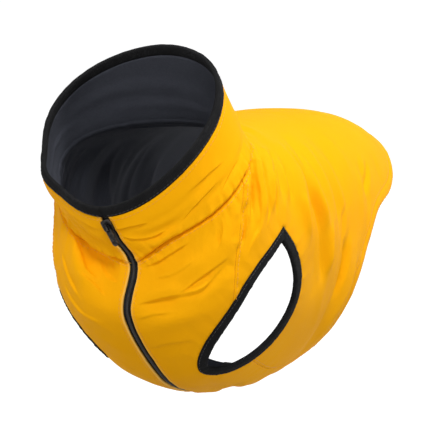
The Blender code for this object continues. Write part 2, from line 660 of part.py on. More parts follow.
def add_pull(frame, hinge_height):
    """The pull tab: a flat tab with an eye round the slider's bridge. Its origin is on the hinge."""
    bar = 0.0009
    half_width = PULL_WIDTH / 2
    arm = half_width - BRIDGE_WIDTH / 2 - 0.0004
    tip = 0.0017
    outer = [(half_width, -bar * 0.3), (half_width - 0.0006, bar / 2), (-half_width + 0.0006, bar / 2),
             (-half_width, -bar * 0.3), (-half_width, -PULL_LENGTH + tip)]
    for k in range(1, 6):
        turn = math.pi * k / 6
        outer.append((-half_width * math.cos(turn), -PULL_LENGTH + tip - tip * math.sin(turn)))
    outer.append((half_width, -PULL_LENGTH + tip))
    window = half_width - arm
    inner = [(window, -bar / 2), (-window, -bar / 2), (-window, -PULL_WINDOW), (window, -PULL_WINDOW)]
    curve = bpy.data.curves.new("zip_pull", "CURVE")
    curve.dimensions = "2D"
    curve.fill_mode = "BOTH"
    curve.extrude = PULL_THICKNESS / 2
    for line in (outer, inner):
        spline = curve.splines.new("POLY")
        spline.points.add(len(line) - 1)
        for point, (x, y) in zip(spline.points, line):
            point.co = (x, y, 0, 1)
        spline.use_cyclic_u = True
    pull = new_object("zip_pull", curve, METAL_BLACK, 0.35, 0.6)
    pull.matrix_world = frame @ Matrix.Translation((0, 0, hinge_height))


for old in list(bpy.data.objects):
    bpy.data.objects.remove(old)
jacket = bpy.data.collections.new("dog_jacket")
tools = bpy.data.collections.new("tools")
bpy.context.scene.collection.children.link(jacket)
bpy.context.scene.collection.children.link(tools)
body_pieces()
collar_pieces()
armhole_bindings()
zip_pieces()
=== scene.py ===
import math

import bpy
import numpy as np
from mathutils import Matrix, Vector
from mathutils.geometry import delaunay_2d_cdt


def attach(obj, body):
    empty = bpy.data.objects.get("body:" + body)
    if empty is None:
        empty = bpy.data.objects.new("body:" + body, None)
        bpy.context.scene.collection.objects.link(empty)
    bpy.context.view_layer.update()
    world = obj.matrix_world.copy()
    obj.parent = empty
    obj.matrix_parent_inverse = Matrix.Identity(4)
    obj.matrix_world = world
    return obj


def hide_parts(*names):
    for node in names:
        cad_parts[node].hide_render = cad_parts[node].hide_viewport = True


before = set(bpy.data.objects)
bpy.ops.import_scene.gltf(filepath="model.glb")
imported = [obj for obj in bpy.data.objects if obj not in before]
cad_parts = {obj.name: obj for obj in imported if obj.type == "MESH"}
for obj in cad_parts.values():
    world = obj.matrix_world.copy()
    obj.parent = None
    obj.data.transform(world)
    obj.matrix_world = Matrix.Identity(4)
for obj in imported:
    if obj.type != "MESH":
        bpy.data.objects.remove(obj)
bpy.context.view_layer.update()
scene = bpy.context.scene
print("frame loaded")

# A place on the cloth is a station, from the rear end of the back (0) to the collar's rim (1.25), and an
# angle round the jacket in degrees: 0 on the back, 90 on the left side, 180 at the zip, -90 on the right.
# Each ring: station, top x y z, low x y z, half width, fullness, how far up the width sits, how far both
# sides bow forward, and how far the left side alone does
wornForm = {
    "anglePitch": 0.0017,      # metres a degree in the flat net
    "stationPitch": 0.340,     # metres a station in the flat net
    "zipStiff": 0.018,         # folds die away over this length beside the zip
    "rings": [
        (0.00, 0.000, 0.262, -0.015, 0.000, 0.128, -0.178, 0.0840, 2.35, 0.03, 0.000, 0.0000),
        (0.20, 0.000, 0.205, 0.001, 0.000, 0.090, -0.190, 0.0880, 2.40, 0.03, 0.000, 0.0000),
        (0.40, 0.000, 0.140, 0.006, 0.000, 0.040, -0.200, 0.0890, 2.40, 0.05, 0.000, 0.0000),
        (0.60, 0.000, 0.075, 0.005, 0.000, -0.025, -0.199, 0.0890, 2.30, 0.08, 0.000, 0.0000),
        (0.75, 0.000, 0.030, 0.004, 0.003, -0.084, -0.176, 0.0870, 2.25, 0.10, 0.000, 0.0000),
        (0.88, -0.004, 0.002, 0.003, -0.003, -0.124, -0.129, 0.0840, 2.28, 0.11, 0.006, 0.0000),
        (1.00, -0.009, -0.022, 0.006, -0.001, -0.118, -0.094, 0.0760, 1.95, 0.15, 0.019, 0.0000),
        (1.12, -0.011, -0.035, 0.033, -0.010, -0.127, -0.074, 0.0727, 1.98, 0.11, 0.013, 0.0013),
        (1.25, -0.0092, -0.050, 0.062, -0.019, -0.136, -0.0512, 0.0672, 1.88, 0.09, 0.008, 0.0040),
    ],
}

# from station, from angle, to station, to angle, bend, half width, height above the skin
mainFolds = [
    (0.89, 46, 0.76, 80, 0.005, 0.0110, -0.0026),
    (0.81, 46, 0.69, 86, 0.006, 0.0110, 0.0026),
    (0.73, 40, 0.60, 100, 0.012, 0.0110, -0.0032),
    (0.65, 44, 0.53, 96, 0.008, 0.0120, 0.0026),
    (0.58, 42, 0.46, 82, 0.005, 0.0120, -0.0022),
    (0.47, 90, 0.42, 132, -0.004, 0.0110, -0.0032),
    (0.39, 92, 0.36, 126, -0.003, 0.0110, 0.0026),
    (0.98, 74, 0.88, 118, 0.004, 0.0080, -0.0022),
    (0.95, 58, 0.88, 100, 0.003, 0.0090, 0.0020),
    (0.905, 172, 0.895, 122, -0.004, 0.0085, -0.0034),
    (0.855, 168, 0.855, 130, -0.003, 0.0120, 0.0022),
    (0.98, -130, 0.93, -160, 0.002, 0.0080, 0.0024),
    (0.968, -150, 0.936, -170, 0.002, 0.0110, -0.0052),
    (0.95, -108, 0.88, -142, 0.003, 0.0100, -0.0026),
    (0.86, -122, 0.76, -152, 0.000, 0.0240, 0.0044),
    (0.88, -44, 0.77, -80, -0.005, 0.0110, -0.0026),
    (0.80, -44, 0.68, -88, -0.007, 0.0110, 0.0026),
    (0.71, -42, 0.60, -98, -0.010, 0.0115, -0.0030),
    (0.62, -46, 0.52, -92, -0.005, 0.0120, 0.0024),
    (0.54, -42, 0.44, -80, -0.005, 0.0120, -0.0020),
    (0.45, -92, 0.40, -130, 0.004, 0.0110, -0.0028),
    (0.37, -90, 0.36, -124, 0.003, 0.0110, 0.0022),
    (0.96, -66, 0.87, -112, -0.004, 0.0085, -0.0022),
    (0.94, -36, 0.93, 30, 0.004, 0.0110, -0.0018),
    (0.87, -26, 0.88, 38, -0.003, 0.0120, 0.0016),
    (0.68, 160, 0.46, 164, 0.004, 0.0110, -0.0022),
    (0.66, -158, 0.44, -162, -0.004, 0.0110, -0.0024),
    (1.125, 170, 1.100, 130, 0.003, 0.0070, -0.0018),
    (1.090, -166, 1.100, -120, 0.003, 0.0070, -0.0018),
    (1.270, -126, 1.130, -124, 0.000, 0.0220, 0.0050),
    (1.120, -60, 1.100, 20, 0.004, 0.0090, -0.0016),
]

# the creases that show, each drawn through places of station and angle. A sharp one is a step of a height
# that dies away over a width on both sides, raised on the left of its way where the height is positive.
sharpCreases = [
    # left front: the long crease, its short twin, and what hangs off the collar's seam
    ([(0.906, 176), (0.911, 160), (0.900, 147), (0.890, 137), (0.895, 130), (0.899, 121)], 0.0060, -0.0038),
    ([(0.905, 152), (0.914, 137), (0.910, 127), (0.902, 118)], 0.0042, -0.0028),
    ([(0.872, 176), (0.880, 164), (0.874, 152)], 0.0060, -0.0014),
    ([(0.996, 174), (1.001, 164), (1.008, 152), (1.004, 138)], 0.0048, -0.0025),
    ([(0.992, 117), (0.966, 119), (0.938, 125)], 0.0050, -0.0017),
    ([(0.962, 166), (0.953, 150), (0.957, 138)], 0.0060, -0.0014),
    ([(0.812, 176), (0.820, 164), (0.812, 150)], 0.0060, -0.0012),
    # beside the left shoulder's seam, and over the armhole
    ([(1.000, 57), (0.965, 79), (0.920, 90), (0.890, 98), (0.885, 105), (0.868, 114)], 0.0050, -0.0025),
    ([(0.958, 62), (0.920, 79), (0.885, 87), (0.868, 97)], 0.0048, -0.0022),
    ([(0.912, 62), (0.875, 78), (0.845, 87)], 0.0046, -0.0020),
    ([(0.888, 117), (0.905, 108), (0.936, 101)], 0.0044, 0.0020),
    ([(0.985, 74), (0.945, 88), (0.915, 99)], 0.0046, -0.0017),
    # the left of the collar
    ([(1.130, 176), (1.106, 166), (1.094, 156), (1.096, 144)], 0.0044, -0.0025),
    ([(1.156, 179), (1.161, 168), (1.150, 154)], 0.0044, -0.0022),
    ([(1.085, 142), (1.100, 124), (1.092, 106)], 0.0056, -0.0014),
    ([(1.155, 128), (1.140, 110), (1.118, 96)], 0.0060, -0.0013),
    ([(1.052, 112), (1.066, 98), (1.060, 84)], 0.0050, -0.0014),
    # right front
    ([(0.988, -132), (0.970, -142), (0.950, -149), (0.943, -158)], 0.0046, 0.0029),
    ([(0.982, -150), (0.962, -160), (0.952, -172)], 0.0050, 0.0026),
    ([(0.938, -145), (0.931, -156), (0.915, -167)], 0.0048, 0.0022),
    ([(0.925, -126), (0.905, -140), (0.885, -152)], 0.0052, 0.0020),
    ([(0.880, -134), (0.862, -148), (0.858, -164)], 0.0056, 0.0017),
    ([(1.092, -172), (1.106, -158), (1.098, -142)], 0.0044, 0.0022),
    ([(1.150, -174), (1.160, -156), (1.150, -136)], 0.0052, 0.0016),
    ([(1.052, -128), (1.066, -112), (1.058, -96)], 0.0052, 0.0014),
    # right shoulder
    ([(0.992, -58), (0.960, -76), (0.915, -92), (0.885, -105)], 0.0050, 0.0023),
    ([(0.952, -62), (0.915, -80), (0.876, -92)], 0.0048, 0.0020),
    ([(0.905, -60), (0.872, -76), (0.850, -86)], 0.0046, 0.0017),
    ([(0.975, -84), (0.940, -96), (0.905, -106)], 0.0046, 0.0017),
    # across the back, behind the collar
    ([(0.974, -36), (0.960, -12), (0.963, 10), (0.976, 32)], 0.0056, 0.0019),
    ([(0.918, -38), (0.905, -16), (0.912, 8)], 0.0060, 0.0013),
]

# and the soft ones: troughs below zero, ridges above
softCreases = [
    # left flank: long shallow streaks from the back to the underside
    ([(0.975, 50), (0.955, 66), (0.930, 82), (0.905, 92), (0.872, 99)], 0.0034, -0.0021),
    ([(0.900, 46), (0.885, 60), (0.850, 70), (0.805, 78)], 0.0036, -0.0020),
    ([(0.800, 36), (0.778, 47), (0.740, 56), (0.702, 66), (0.655, 76), (0.615, 87), (0.575, 97), (0.530, 108)],
     0.0036, -0.0030),
    ([(0.650, 34), (0.636, 45), (0.610, 55), (0.580, 63), (0.550, 71), (0.520, 81), (0.500, 93)],
     0.0048, -0.0022),
    ([(0.842, 55), (0.822, 65), (0.798, 76)], 0.0030, -0.0014),
    ([(0.318, 54), (0.340, 62), (0.368, 70)], 0.0038, -0.0016),
    ([(0.470, 84), (0.442, 94), (0.428, 104), (0.418, 114)], 0.0038, -0.0026),
    ([(0.508, 70), (0.498, 79), (0.483, 90)], 0.0040, -0.0014),
    ([(0.940, 48), (0.930, 61), (0.905, 75), (0.868, 86)], 0.0038, 0.0017),
    ([(0.718, 42), (0.702, 52), (0.680, 62), (0.650, 71), (0.608, 82)], 0.0036, 0.0023),
    ([(0.592, 43), (0.565, 54), (0.522, 67), (0.475, 80)], 0.0042, 0.0015),
    ([(0.612, 75), (0.582, 86), (0.548, 99)], 0.0040, 0.0020),
    ([(0.995, 86), (0.972, 94), (0.945, 103)], 0.0036, 0.0021),
    ([(0.782, 66), (0.742, 76), (0.695, 85)], 0.0034, 0.0016),
    ([(0.400, 52), (0.348, 67), (0.308, 80)], 0.0050, -0.0012),
    ([(0.352, 95), (0.330, 108), (0.316, 121)], 0.0038, -0.0014),
    # gathers of the left shoulder, between the collar's seam and the armhole
    ([(1.000, 70), (0.965, 84), (0.925, 96), (0.900, 104)], 0.0036, -0.0024),
    ([(0.990, 80), (0.955, 92), (0.925, 101), (0.900, 110)], 0.0034, 0.0022),
    ([(0.985, 62), (0.945, 78), (0.905, 89), (0.878, 97)], 0.0034, 0.0022),
    ([(0.930, 68), (0.895, 80), (0.862, 89)], 0.0032, 0.0018),
    ([(0.950, 104), (0.925, 108), (0.898, 115)], 0.0030, 0.0016),
    ([(0.905, 52), (0.872, 68), (0.836, 80)], 0.0038, -0.0020),
    ([(0.880, 54), (0.850, 66), (0.815, 76)], 0.0040, 0.0016),
    # left front and collar
    ([(0.926, 172), (0.927, 158), (0.914, 145)], 0.0050, 0.0016),
    ([(0.892, 166), (0.882, 152), (0.874, 140)], 0.0050, -0.0014),
    ([(1.060, 168), (1.072, 152), (1.066, 136)], 0.0046, 0.0014),
    ([(0.988, -134), (0.979, -147), (0.983, -160), (0.980, -173)], 0.0072, -0.0046),
    # right flank
    ([(0.945, -50), (0.925, -66), (0.885, -80), (0.850, -88)], 0.0036, -0.0020),
    ([(0.890, -44), (0.862, -58), (0.820, -72), (0.780, -80)], 0.0036, -0.0018),
    ([(0.810, -38), (0.778, -52), (0.735, -64), (0.680, -76), (0.625, -90), (0.570, -104)], 0.0038, -0.0028),
    ([(0.670, -36), (0.640, -50), (0.595, -64), (0.545, -78), (0.500, -94)], 0.0048, -0.0023),
    ([(0.535, -50), (0.490, -66), (0.450, -82)], 0.0046, -0.0016),
    ([(0.470, -88), (0.435, -102), (0.405, -118)], 0.0040, -0.0024),
    ([(0.730, -44), (0.705, -56), (0.665, -70), (0.620, -82)], 0.0038, 0.0021),
    ([(0.605, -45), (0.570, -58), (0.520, -72)], 0.0044, 0.0015),
    ([(0.600, -80), (0.555, -94), (0.515, -108)], 0.0040, 0.0019),
    ([(0.405, -54), (0.350, -70), (0.316, -86)], 0.0052, -0.0013),
    # gathers of the right shoulder
    ([(0.995, -74), (0.955, -88), (0.915, -100), (0.895, -108)], 0.0036, -0.0022),
    ([(0.985, -64), (0.940, -80), (0.895, -94)], 0.0036, 0.0020),
    ([(0.925, -70), (0.890, -82), (0.862, -90)], 0.0034, 0.0016),
    ([(0.900, -52), (0.865, -68), (0.832, -80)], 0.0040, -0.0018),
    # the underside
    ([(0.610, 152), (0.560, 160), (0.500, 170)], 0.0046, -0.0020),
    ([(0.470, 146), (0.430, 156), (0.390, 166)], 0.0044, -0.0018),
    ([(0.620, -150), (0.570, -158), (0.500, -168)], 0.0046, -0.0020),
    ([(0.450, -146), (0.410, -158), (0.370, -168)], 0.0044, -0.0018),
]

# softer and broader unevenness between them, in the columns of the main folds
fineFolds = [
    (0.960, 166, 0.945, 138, -0.002, 0.0060, 0.0008),
    (0.840, 166, 0.835, 142, -0.002, 0.0055, -0.0009),
    (0.790, 170, 0.800, 158, 0.001, 0.0050, 0.0008),
    (0.870, 144, 0.858, 126, 0.001, 0.0044, -0.0008),
    (0.860, 62, 0.820, 84, 0.001, 0.0044, 0.0008),
    (0.775, 56, 0.705, 84, 0.003, 0.0052, 0.0008),
    (0.755, 36, 0.690, 62, 0.004, 0.0056, 0.0009),
    (0.700, 62, 0.640, 96, 0.005, 0.0050, 0.0010),
    (0.580, 88, 0.500, 118, 0.003, 0.0052, 0.0010),
    (0.500, 40, 0.430, 62, 0.002, 0.0060, 0.0007),
    (0.400, 60, 0.350, 84, 0.002, 0.0056, 0.0008),
    (0.330, 70, 0.290, 88, 0.001, 0.0050, 0.0008),
    (0.260, 54, 0.220, 66, 0.001, 0.0056, -0.0007),
    (0.865, -144, 0.840, -168, -0.002, 0.0050, 0.0010),
    (0.820, -156, 0.800, -170, 0.000, 0.0055, 0.0008),
    (0.925, -60, 0.855, -90, -0.003, 0.0048, 0.0008),
    (0.770, -54, 0.700, -86, -0.003, 0.0052, 0.0009),
    (0.740, -36, 0.680, -60, -0.004, 0.0056, 0.0009),
    (0.650, -40, 0.590, -62, -0.003, 0.0056, -0.0008),
    (0.520, -62, 0.460, -94, -0.003, 0.0054, 0.0010),
    (0.470, -104, 0.410, -132, 0.002, 0.0050, 0.0012),
    (0.350, -100, 0.330, -128, 0.001, 0.0048, -0.0010),
    (0.945, -8, 0.950, 44, -0.003, 0.0052, 0.0009),
    (0.780, -22, 0.740, 14, 0.003, 0.0065, -0.0007),
    (0.560, -18, 0.530, 20, 0.003, 0.0070, -0.0006),
    (0.260, -30, 0.240, 16, 0.003, 0.0070, -0.0007),
    (0.130, -20, 0.120, 30, -0.002, 0.0065, 0.0006),
    (0.520, 148, 0.430, 168, 0.003, 0.0055, 0.0009),
    (0.500, -146, 0.420, -168, -0.003, 0.0055, 0.0009),
    (1.150, 160, 1.140, 110, 0.002, 0.0052, -0.0008),
    (1.080, 118, 1.060, 70, 0.002, 0.0055, -0.0010),
    (1.090, -112, 1.070, -60, 0.002, 0.0055, -0.0010),
    (1.100, 60, 1.070, 16, 0.002, 0.0055, 0.0009),
    (1.060, -30, 1.050, 30, 0.002, 0.0055, -0.0010),
]

# where the pieces are cut, in the same stations and angles
cutLines = {
    "rim": 1.25,
    "rimSpan": 0.08,           # stations below the rim over which its slope is taken
    "hem": [(0, 0.020), (35, 0.032), (54, 0.062), (64, 0.095), (71, 0.150), (76, 0.225),
            (86, 0.270), (104, 0.286), (125, 0.284), (150, 0.280), (180, 0.280)],
    # the collar's seam lies higher on the left front
    "collarSeam": [(-180, 1.007), (-165, 1.014), (-152, 1.001), (-138, 0.992), (-122, 0.984),
                   (-108, 0.988), (-91, 1.000), (-60, 1.000), (60, 1.000), (91, 1.000), (108, 1.007),
                   (122, 1.019), (138, 1.040), (152, 1.051), (165, 1.036), (180, 1.007)],
    "armhole": [(0.820, 87), (0.832, 98), (0.840, 108), (0.839, 118), (0.830, 128), (0.817, 138),
                (0.798, 148), (0.769, 156), (0.735, 158), (0.702, 151), (0.676, 138), (0.660, 123),
                (0.665, 109), (0.700, 98), (0.760, 90)],
    "armholeStep": 0.0135,     # metres between two places of the armhole, about
    "shoulderPoint": 4,        # where the seams meet the armhole, by number
    "sidePoint": 10,
    "shoulderSeam": [(1.000, 91), (0.945, 105), (0.880, 118)],
    "sideSeam": [(0.520, 141), (0.380, 140), (0.2825, 139)],
    "zipPlaces": [(0.45, 180), (0.7, 180)],
    "rightForward": 0.022,     # the right armhole's shift in station, and in degrees towards the back
    "rightTurn": 4.0,
    "rightLowTurn": 5.0,       # more degrees at its lower front corner, from and over these angles
    "rightLowFrom": 132,
    "rightLowOver": 20,
    "rightMiddle": 0.77,       # where the shift is whole, and how far it reaches in station and angle
    "rightReach": 0.20,
    "rightFade": 22,
    "bindingWidth": 0.0080,
    "zipOpening": 0.0066,
    "seamGap": 0.0003,
}
probe = {"skin": (0.004, 0.8), "net": (0.002, 0.4), "form": (1e-3, 0.1)}     # small steps of station and angle
foldEnds = {"from": 0.12, "span": 0.76, "power": 0.7}     # how a fold dies away at its ends


def smoothValues(x, y, at):
    # rows of values at x, read at other places on a smooth curve through them
    step = np.diff(x)[:, None]
    slope = np.diff(y, axis=0) / step
    tangent = np.vstack([slope[:1],
                         (slope[:-1] * step[1:] + slope[1:] * step[:-1]) / (step[1:] + step[:-1]),
                         slope[-1:]])
    i = np.clip(np.searchsorted(x, at, side="right") - 1, 0, len(x) - 2)
    h = (x[i + 1] - x[i])[:, None]
    s = ((at - x[i]) / h[:, 0])[:, None]
    return ((2 * s**3 - 3 * s**2 + 1) * y[i] + (s**3 - 2 * s**2 + s) * h * tangent[i]
            + (3 * s**2 - 2 * s**3) * y[i + 1] + (s**3 - s**2) * h * tangent[i + 1])


def unit(v):
    return v / np.maximum(np.linalg.norm(v, axis=-1, keepdims=True), 1e-12)


def pairs(first, second):
    # two columns, either of which may be one number
    first, second = np.broadcast_arrays(np.asarray(first, float), np.asarray(second, float))
    return np.stack([first, second], axis=1)


def bodyPoint(place):
    # the form without its folds
    rings = np.array(wornForm["rings"])
    c = smoothValues(rings[:, 0], rings[:, 1:], place[:, 0])
    top, low = c[:, 0:3], c[:, 3:6]
    halfWidth, fullness, wideHigh, sideForward, tilt = c[:, 6:11].T
    cos, sin = np.cos(np.radians(place[:, 1])), np.sin(np.radians(place[:, 1]))
    reach = (np.abs(cos)**fullness + np.abs(sin)**fullness)**(-1 / fullness)
    point = (top + low) / 2 + (reach * cos)[:, None] * (top - low) / 2
    point[:, 0] += reach * sin * halfWidth * (1 + wideHigh * cos)
    across = top - low
    forward = unit(np.stack([np.zeros(len(across)), -across[:, 2], across[:, 1]], axis=1))
    return point + forward * (sideForward * sin**2 + tilt * sin)[:, None]


def flatNet(place):
    return pairs(place[:, 1] * wornForm["anglePitch"], place[:, 0] * wornForm["stationPitch"])


def fromNet(spots):
    return pairs(spots[:, 1] / wornForm["stationPitch"], spots[:, 0] / wornForm["anglePitch"])


def withinTurn(place):
    return pairs(place[:, 0], (place[:, 1] + 180) % 360 - 180)


def zipDistance(place):
    return (180 - np.abs(place[:, 1])) * wornForm["anglePitch"]


def foldHeight(place, folds):
    turned = withinTurn(place)
    spot = flatNet(turned)
    height = np.zeros(len(spot))
    for fromStation, fromAngle, toStation, toAngle, bend, width, lift in folds:
        start, end = flatNet(np.array([(fromStation, fromAngle), (toStation, toAngle)], float))
        length = np.linalg.norm(end - start)
        run = (end - start) / length
        along = (spot - start) @ run / length
        aside = (spot - start) @ np.array([-run[1], run[0]])
        inside = np.clip(along, 0, 1)
        aside = aside - bend * 4 * inside * (1 - inside)
        past = (along - inside) * length
        fade = np.sin(np.pi * np.clip(foldEnds["from"] + foldEnds["span"] * inside, 0, 1))**foldEnds["power"]
        height += lift * fade * np.exp(-(aside**2 + past**2) / width**2)
    return height * (1 - np.exp(-(zipDistance(turned) / wornForm["zipStiff"])**2))


def foldedPoint(place):
    base = bodyPoint(place)
    station, angle = probe["form"]
    out = np.cross(bodyPoint(place + [station, 0]) - base, bodyPoint(place + [0, angle]) - base)
    return base + unit(out) * foldHeight(place, mainFolds)[:, None]


def differences(surface, place, station, angle):
    # how a surface changes over a step of station and over one of angle
    return (surface(place + [station, 0]) - surface(place - [station, 0]),
            surface(place + [0, angle]) - surface(place - [0, angle]))


def skin(place, depth=0.0):
    # points at a depth under the skin, and the outward normals
    place = np.atleast_2d(np.asarray(place, float))
    normal = unit(np.cross(*differences(foldedPoint, place, *probe["skin"])))
    return foldedPoint(place) - normal * np.reshape(np.broadcast_to(depth, len(place)), (-1, 1)), normal


def moveBy(place, step):
    # moves places by steps in space that lie on the cloth
    station, angle = probe["net"]
    a, b = differences(bodyPoint, place, station, angle)
    a, b = a / (2 * station), b / (2 * angle)
    aa, ab, bb = np.sum(a * a, 1), np.sum(a * b, 1), np.sum(b * b, 1)
    sa, sb = np.sum(step * a, 1), np.sum(step * b, 1)
    det = aa * bb - ab * ab
    return place + pairs((sa * bb - sb * ab) / det, (sb * aa - sa * ab) / det)


def edgeStation(rows, angle):
    rows = np.array(rows, float)
    return smoothValues(rows[:, 0], rows[:, 1:], np.atleast_1d(angle))[:, 0]


def hemLine(angles):
    return pairs(edgeStation(cutLines["hem"], np.abs(angles)), angles)


def collarSeamLine(angles):
    return pairs(edgeStation(cutLines["collarSeam"], angles), angles)


def belowRim(angle, drop):
    angle = np.atleast_1d(np.asarray(angle, float))
    rim, span = cutLines["rim"], cutLines["rimSpan"]
    gap = skin(pairs(rim, angle))[0] - skin(pairs(rim - span, angle))[0]
    return pairs(rim - drop * span / np.linalg.norm(gap, axis=1), angle)


def lengthAlong(points):
    return np.concatenate([[0], np.cumsum(np.linalg.norm(np.diff(points, axis=0), axis=1))])


def smoothRun(points, pitch):
    line = np.array(points, float)
    x = lengthAlong(flatNet(line))
    return smoothValues(x, line, np.linspace(0, x[-1], max(1, round(x[-1] / pitch)) + 1))


def smoothRing(points, steps):
    ring = np.array(list(points) + [points[0]], float)
    return smoothValues(np.arange(len(ring), dtype=float), ring, np.arange(0, len(ring) - 1, 1 / steps))


def rightSide(line):
    # the left side's line mirrored, and moved where the right armhole lies further forward
    station, angle = line.T
    middle, reach, fade = cutLines["rightMiddle"], cutLines["rightReach"], cutLines["rightFade"]
    near = np.clip(1 - ((station - middle) / reach)**2, 0, 1)**2 * np.clip((180 - angle) / fade, 0, 1)
    lowShare = np.clip((angle - cutLines["rightLowFrom"]) / cutLines["rightLowOver"], 0, 1)
    turn = cutLines["rightTurn"] + cutLines["rightLowTurn"] * lowShare
    return pairs(station + near * cutLines["rightForward"], near * turn - angle)


def beside(line, distance):
    # a line that runs a distance to the left of another, seen from outside with the station upwards
    point, normal = skin(line)
    forward = unit(np.diff(point, axis=0))
    before = np.vstack([forward[:1], forward])
    forward = np.vstack([forward, forward[-1:]])
    left = unit(np.cross(normal, forward))
    miter = unit(left + unit(np.cross(normal, before)))
    stretch = 1 / np.maximum(np.sum(miter * left, axis=1), 0.5)
    return moveBy(line, miter * (stretch * distance)[:, None])


# the net of a panel: its rows stay off the edge by a share of a cell, and off extra rows by a length
netGaps = {"edgeShare": 0.55, "besideRows": 0.0016, "rowEdge": 0.00025}


def fillOutline(outline, cell, rings=()):
    # an even net of triangles inside an outline of places, with extra rows of points
    edge = flatNet(outline)
    low, high = edge.min(axis=0), edge.max(axis=0)
    rowPitch = cell * math.sqrt(3) / 2
    inner = [((column + 0.5 * (row % 2)) * cell, row * rowPitch)
             for row in range(math.ceil(low[1] / rowPitch), math.floor(high[1] / rowPitch) + 1)
             for column in range(math.floor(low[0] / cell), math.ceil(high[0] / cell) + 1)]
    spare = np.array([p for ring in rings for p in flatNet(ring)]).reshape(-1, 2)
    edgeGap = max(netGaps["edgeShare"] * cell, netGaps["besideRows"] if len(rings) else 0)
    needed = np.concatenate([np.full(len(inner), edgeGap), np.full(len(spare), netGaps["rowEdge"])])
    inner = np.vstack([inner, spare])
    crossings = np.zeros(len(inner), int)
    nearest = np.full(len(inner), np.inf)
    for p, q in zip(edge, np.roll(edge, -1, axis=0)):
        spans = (p[1] > inner[:, 1]) != (q[1] > inner[:, 1])
        rise = q[1] - p[1] if q[1] != p[1] else 1.0
        crossings += spans & (inner[:, 0] < p[0] + (inner[:, 1] - p[1]) / rise * (q[0] - p[0]))
        run = q - p
        part = np.clip((inner - p) @ run / max(run @ run, 1e-18), 0, 1)
        nearest = np.minimum(nearest, np.linalg.norm(inner - p - part[:, None] * run, axis=1))
    inner = inner[(crossings % 2 == 1) & (nearest > needed)]
    points = [Vector(p) for p in np.vstack([edge, inner])]
    made = delaunay_2d_cdt(points, [], [list(range(len(edge)))], 1, 1e-8)
    at = np.zeros(len(edge), int)
    for new, old in enumerate(made[3]):
        for k in old:
            if k < len(edge):
                at[k] = new
    return fromNet(np.array([tuple(p) for p in made[0]])), [list(f) for f in made[2]], at


def nearestOn(line, spots, closed=False):
    # distance from each spot to a line in the flat net, and how far along the line the nearest point is
    a = flatNet(line)
    b = np.roll(a, -1, axis=0) if closed else a[1:]
    a = a if closed else a[:-1]
    length = np.linalg.norm(b - a, axis=1)
    start = np.concatenate([[0], np.cumsum(length)[:-1]])
    best = np.full(len(spots), np.inf)
    along = np.zeros(len(spots))
    for p, q, size, begin in zip(a, b, length, start):
        if size < 1e-9:
            continue
        part = np.clip((spots - p) @ (q - p) / size**2, 0, 1)
        far = np.linalg.norm(spots - p - part[:, None] * (q - p), axis=1)
        closer = far < best
        best[closer] = far[closer]
        along[closer] = (begin + part * size)[closer]
    return best, along


def nearestPoint(points, spots):
    gap = np.full(len(spots), np.inf)
    for p in points:
        gap = np.minimum(gap, np.linalg.norm(spots - p, axis=1))
    return gap


# where the cloth is sewn, and what sewing does to it
sewing = {
    "pitch": 0.004,
    "hemDepth": 0.0100,
    "zipStitchIn": 0.0026,
    "seamStitchIn": 0.0022,
    "rimStitchIn": 0.0030,
    # each ripple of a pucker: height, waves and shift
    "ripples": ((1.0, 1.0, 1.0), (0.7, 0.618, 2.1), (0.5, 1.73, 0.7)),
    "rippleSum": 1.6,
    "puckerFrom": 0.002,       # puckers are small on the seam itself, and full from here on
    "puckerLeast": 0.25,
    "tapeShallow": 0.62,       # how much of a groove the tape takes away, and how far from the zip
    "tapeReach": 0.0160,
    "hemStep": (0.0005, 0.0008, 0.0016),      # height of the turned hem, half its ramp, its ramp
    "hemPull": (0.0006, 0.0011),              # depth and half width of the line under the hem's stitches
    "seamStep": (0.0013, -0.0008, 0.006, 0.0012),      # above, below, how far it reaches, how far it rises
}
creaseLook = {
    "pitch": 0.003,
    "reach": 6,                # half widths on both sides that a crease moves
    "startFade": 0.28,
    "endFade": 0.34,
    "stepWidth": 0.0007,
    "sharpWaver": ((0.18, 0.0044, 1), (0.12, 0.0026, 2)),      # share, length, shift
    "softWaver": ((0.14, 0.0110, 1),),
    "softSides": (0.3, 2.1, 1.3),      # beside a soft crease: share of its height, place and width
    "rowPitch": 0.0014,
    "rows": (-0.0018, -0.0009, -0.0003, 0.0003, 0.0009, 0.0018),
}


def cutCurves(pitch):
    # every cut line of the left side, as points about a pitch apart
    ring = cutLines["armhole"]
    steps = max(2, round(cutLines["armholeStep"] / pitch))
    whole = smoothRing(ring, steps)
    whole = np.vstack([whole, whole[:1]])
    shoulderAt, sideAt = cutLines["shoulderPoint"] * steps, cutLines["sidePoint"] * steps
    shoulder = smoothRun(cutLines["shoulderSeam"] + [ring[cutLines["shoulderPoint"]]], pitch)
    side = smoothRun([ring[cutLines["sidePoint"]]] + cutLines["sideSeam"], pitch)
    side[-1, 0] = edgeStation(cutLines["hem"], side[-1, 1])[0]
    shoulderAngle, sideAngle = shoulder[0, 1], side[-1, 1]

    def turns(start, end):
        return np.linspace(start, end, round(abs(end - start) * wornForm["anglePitch"] / pitch) + 1)

    throat, rightThroat = (collarSeamLine(sign * turns(shoulderAngle, 180)) for sign in (1, -1))
    frontHem = hemLine(turns(sideAngle, 180))
    zipLine = smoothRun([frontHem[-1], *cutLines["zipPlaces"], throat[-1]], pitch)
    return {"upper": whole[:shoulderAt + 1], "lower": whole[shoulderAt:sideAt + 1], "rear": whole[sideAt:],
            "ring": whole[:-1], "shoulder": shoulder, "side": side, "throat": throat,
            "rightThroat": rightThroat, "nape": collarSeamLine(turns(-shoulderAngle, shoulderAngle)),
            "frontHem": frontHem, "hem": hemLine(turns(sideAngle, -sideAngle)), "zip": zipLine}


def wholeCollarSeam(curves):
    return np.vstack([curves["rightThroat"][::-1], curves["nape"][1:-1], curves["throat"]])


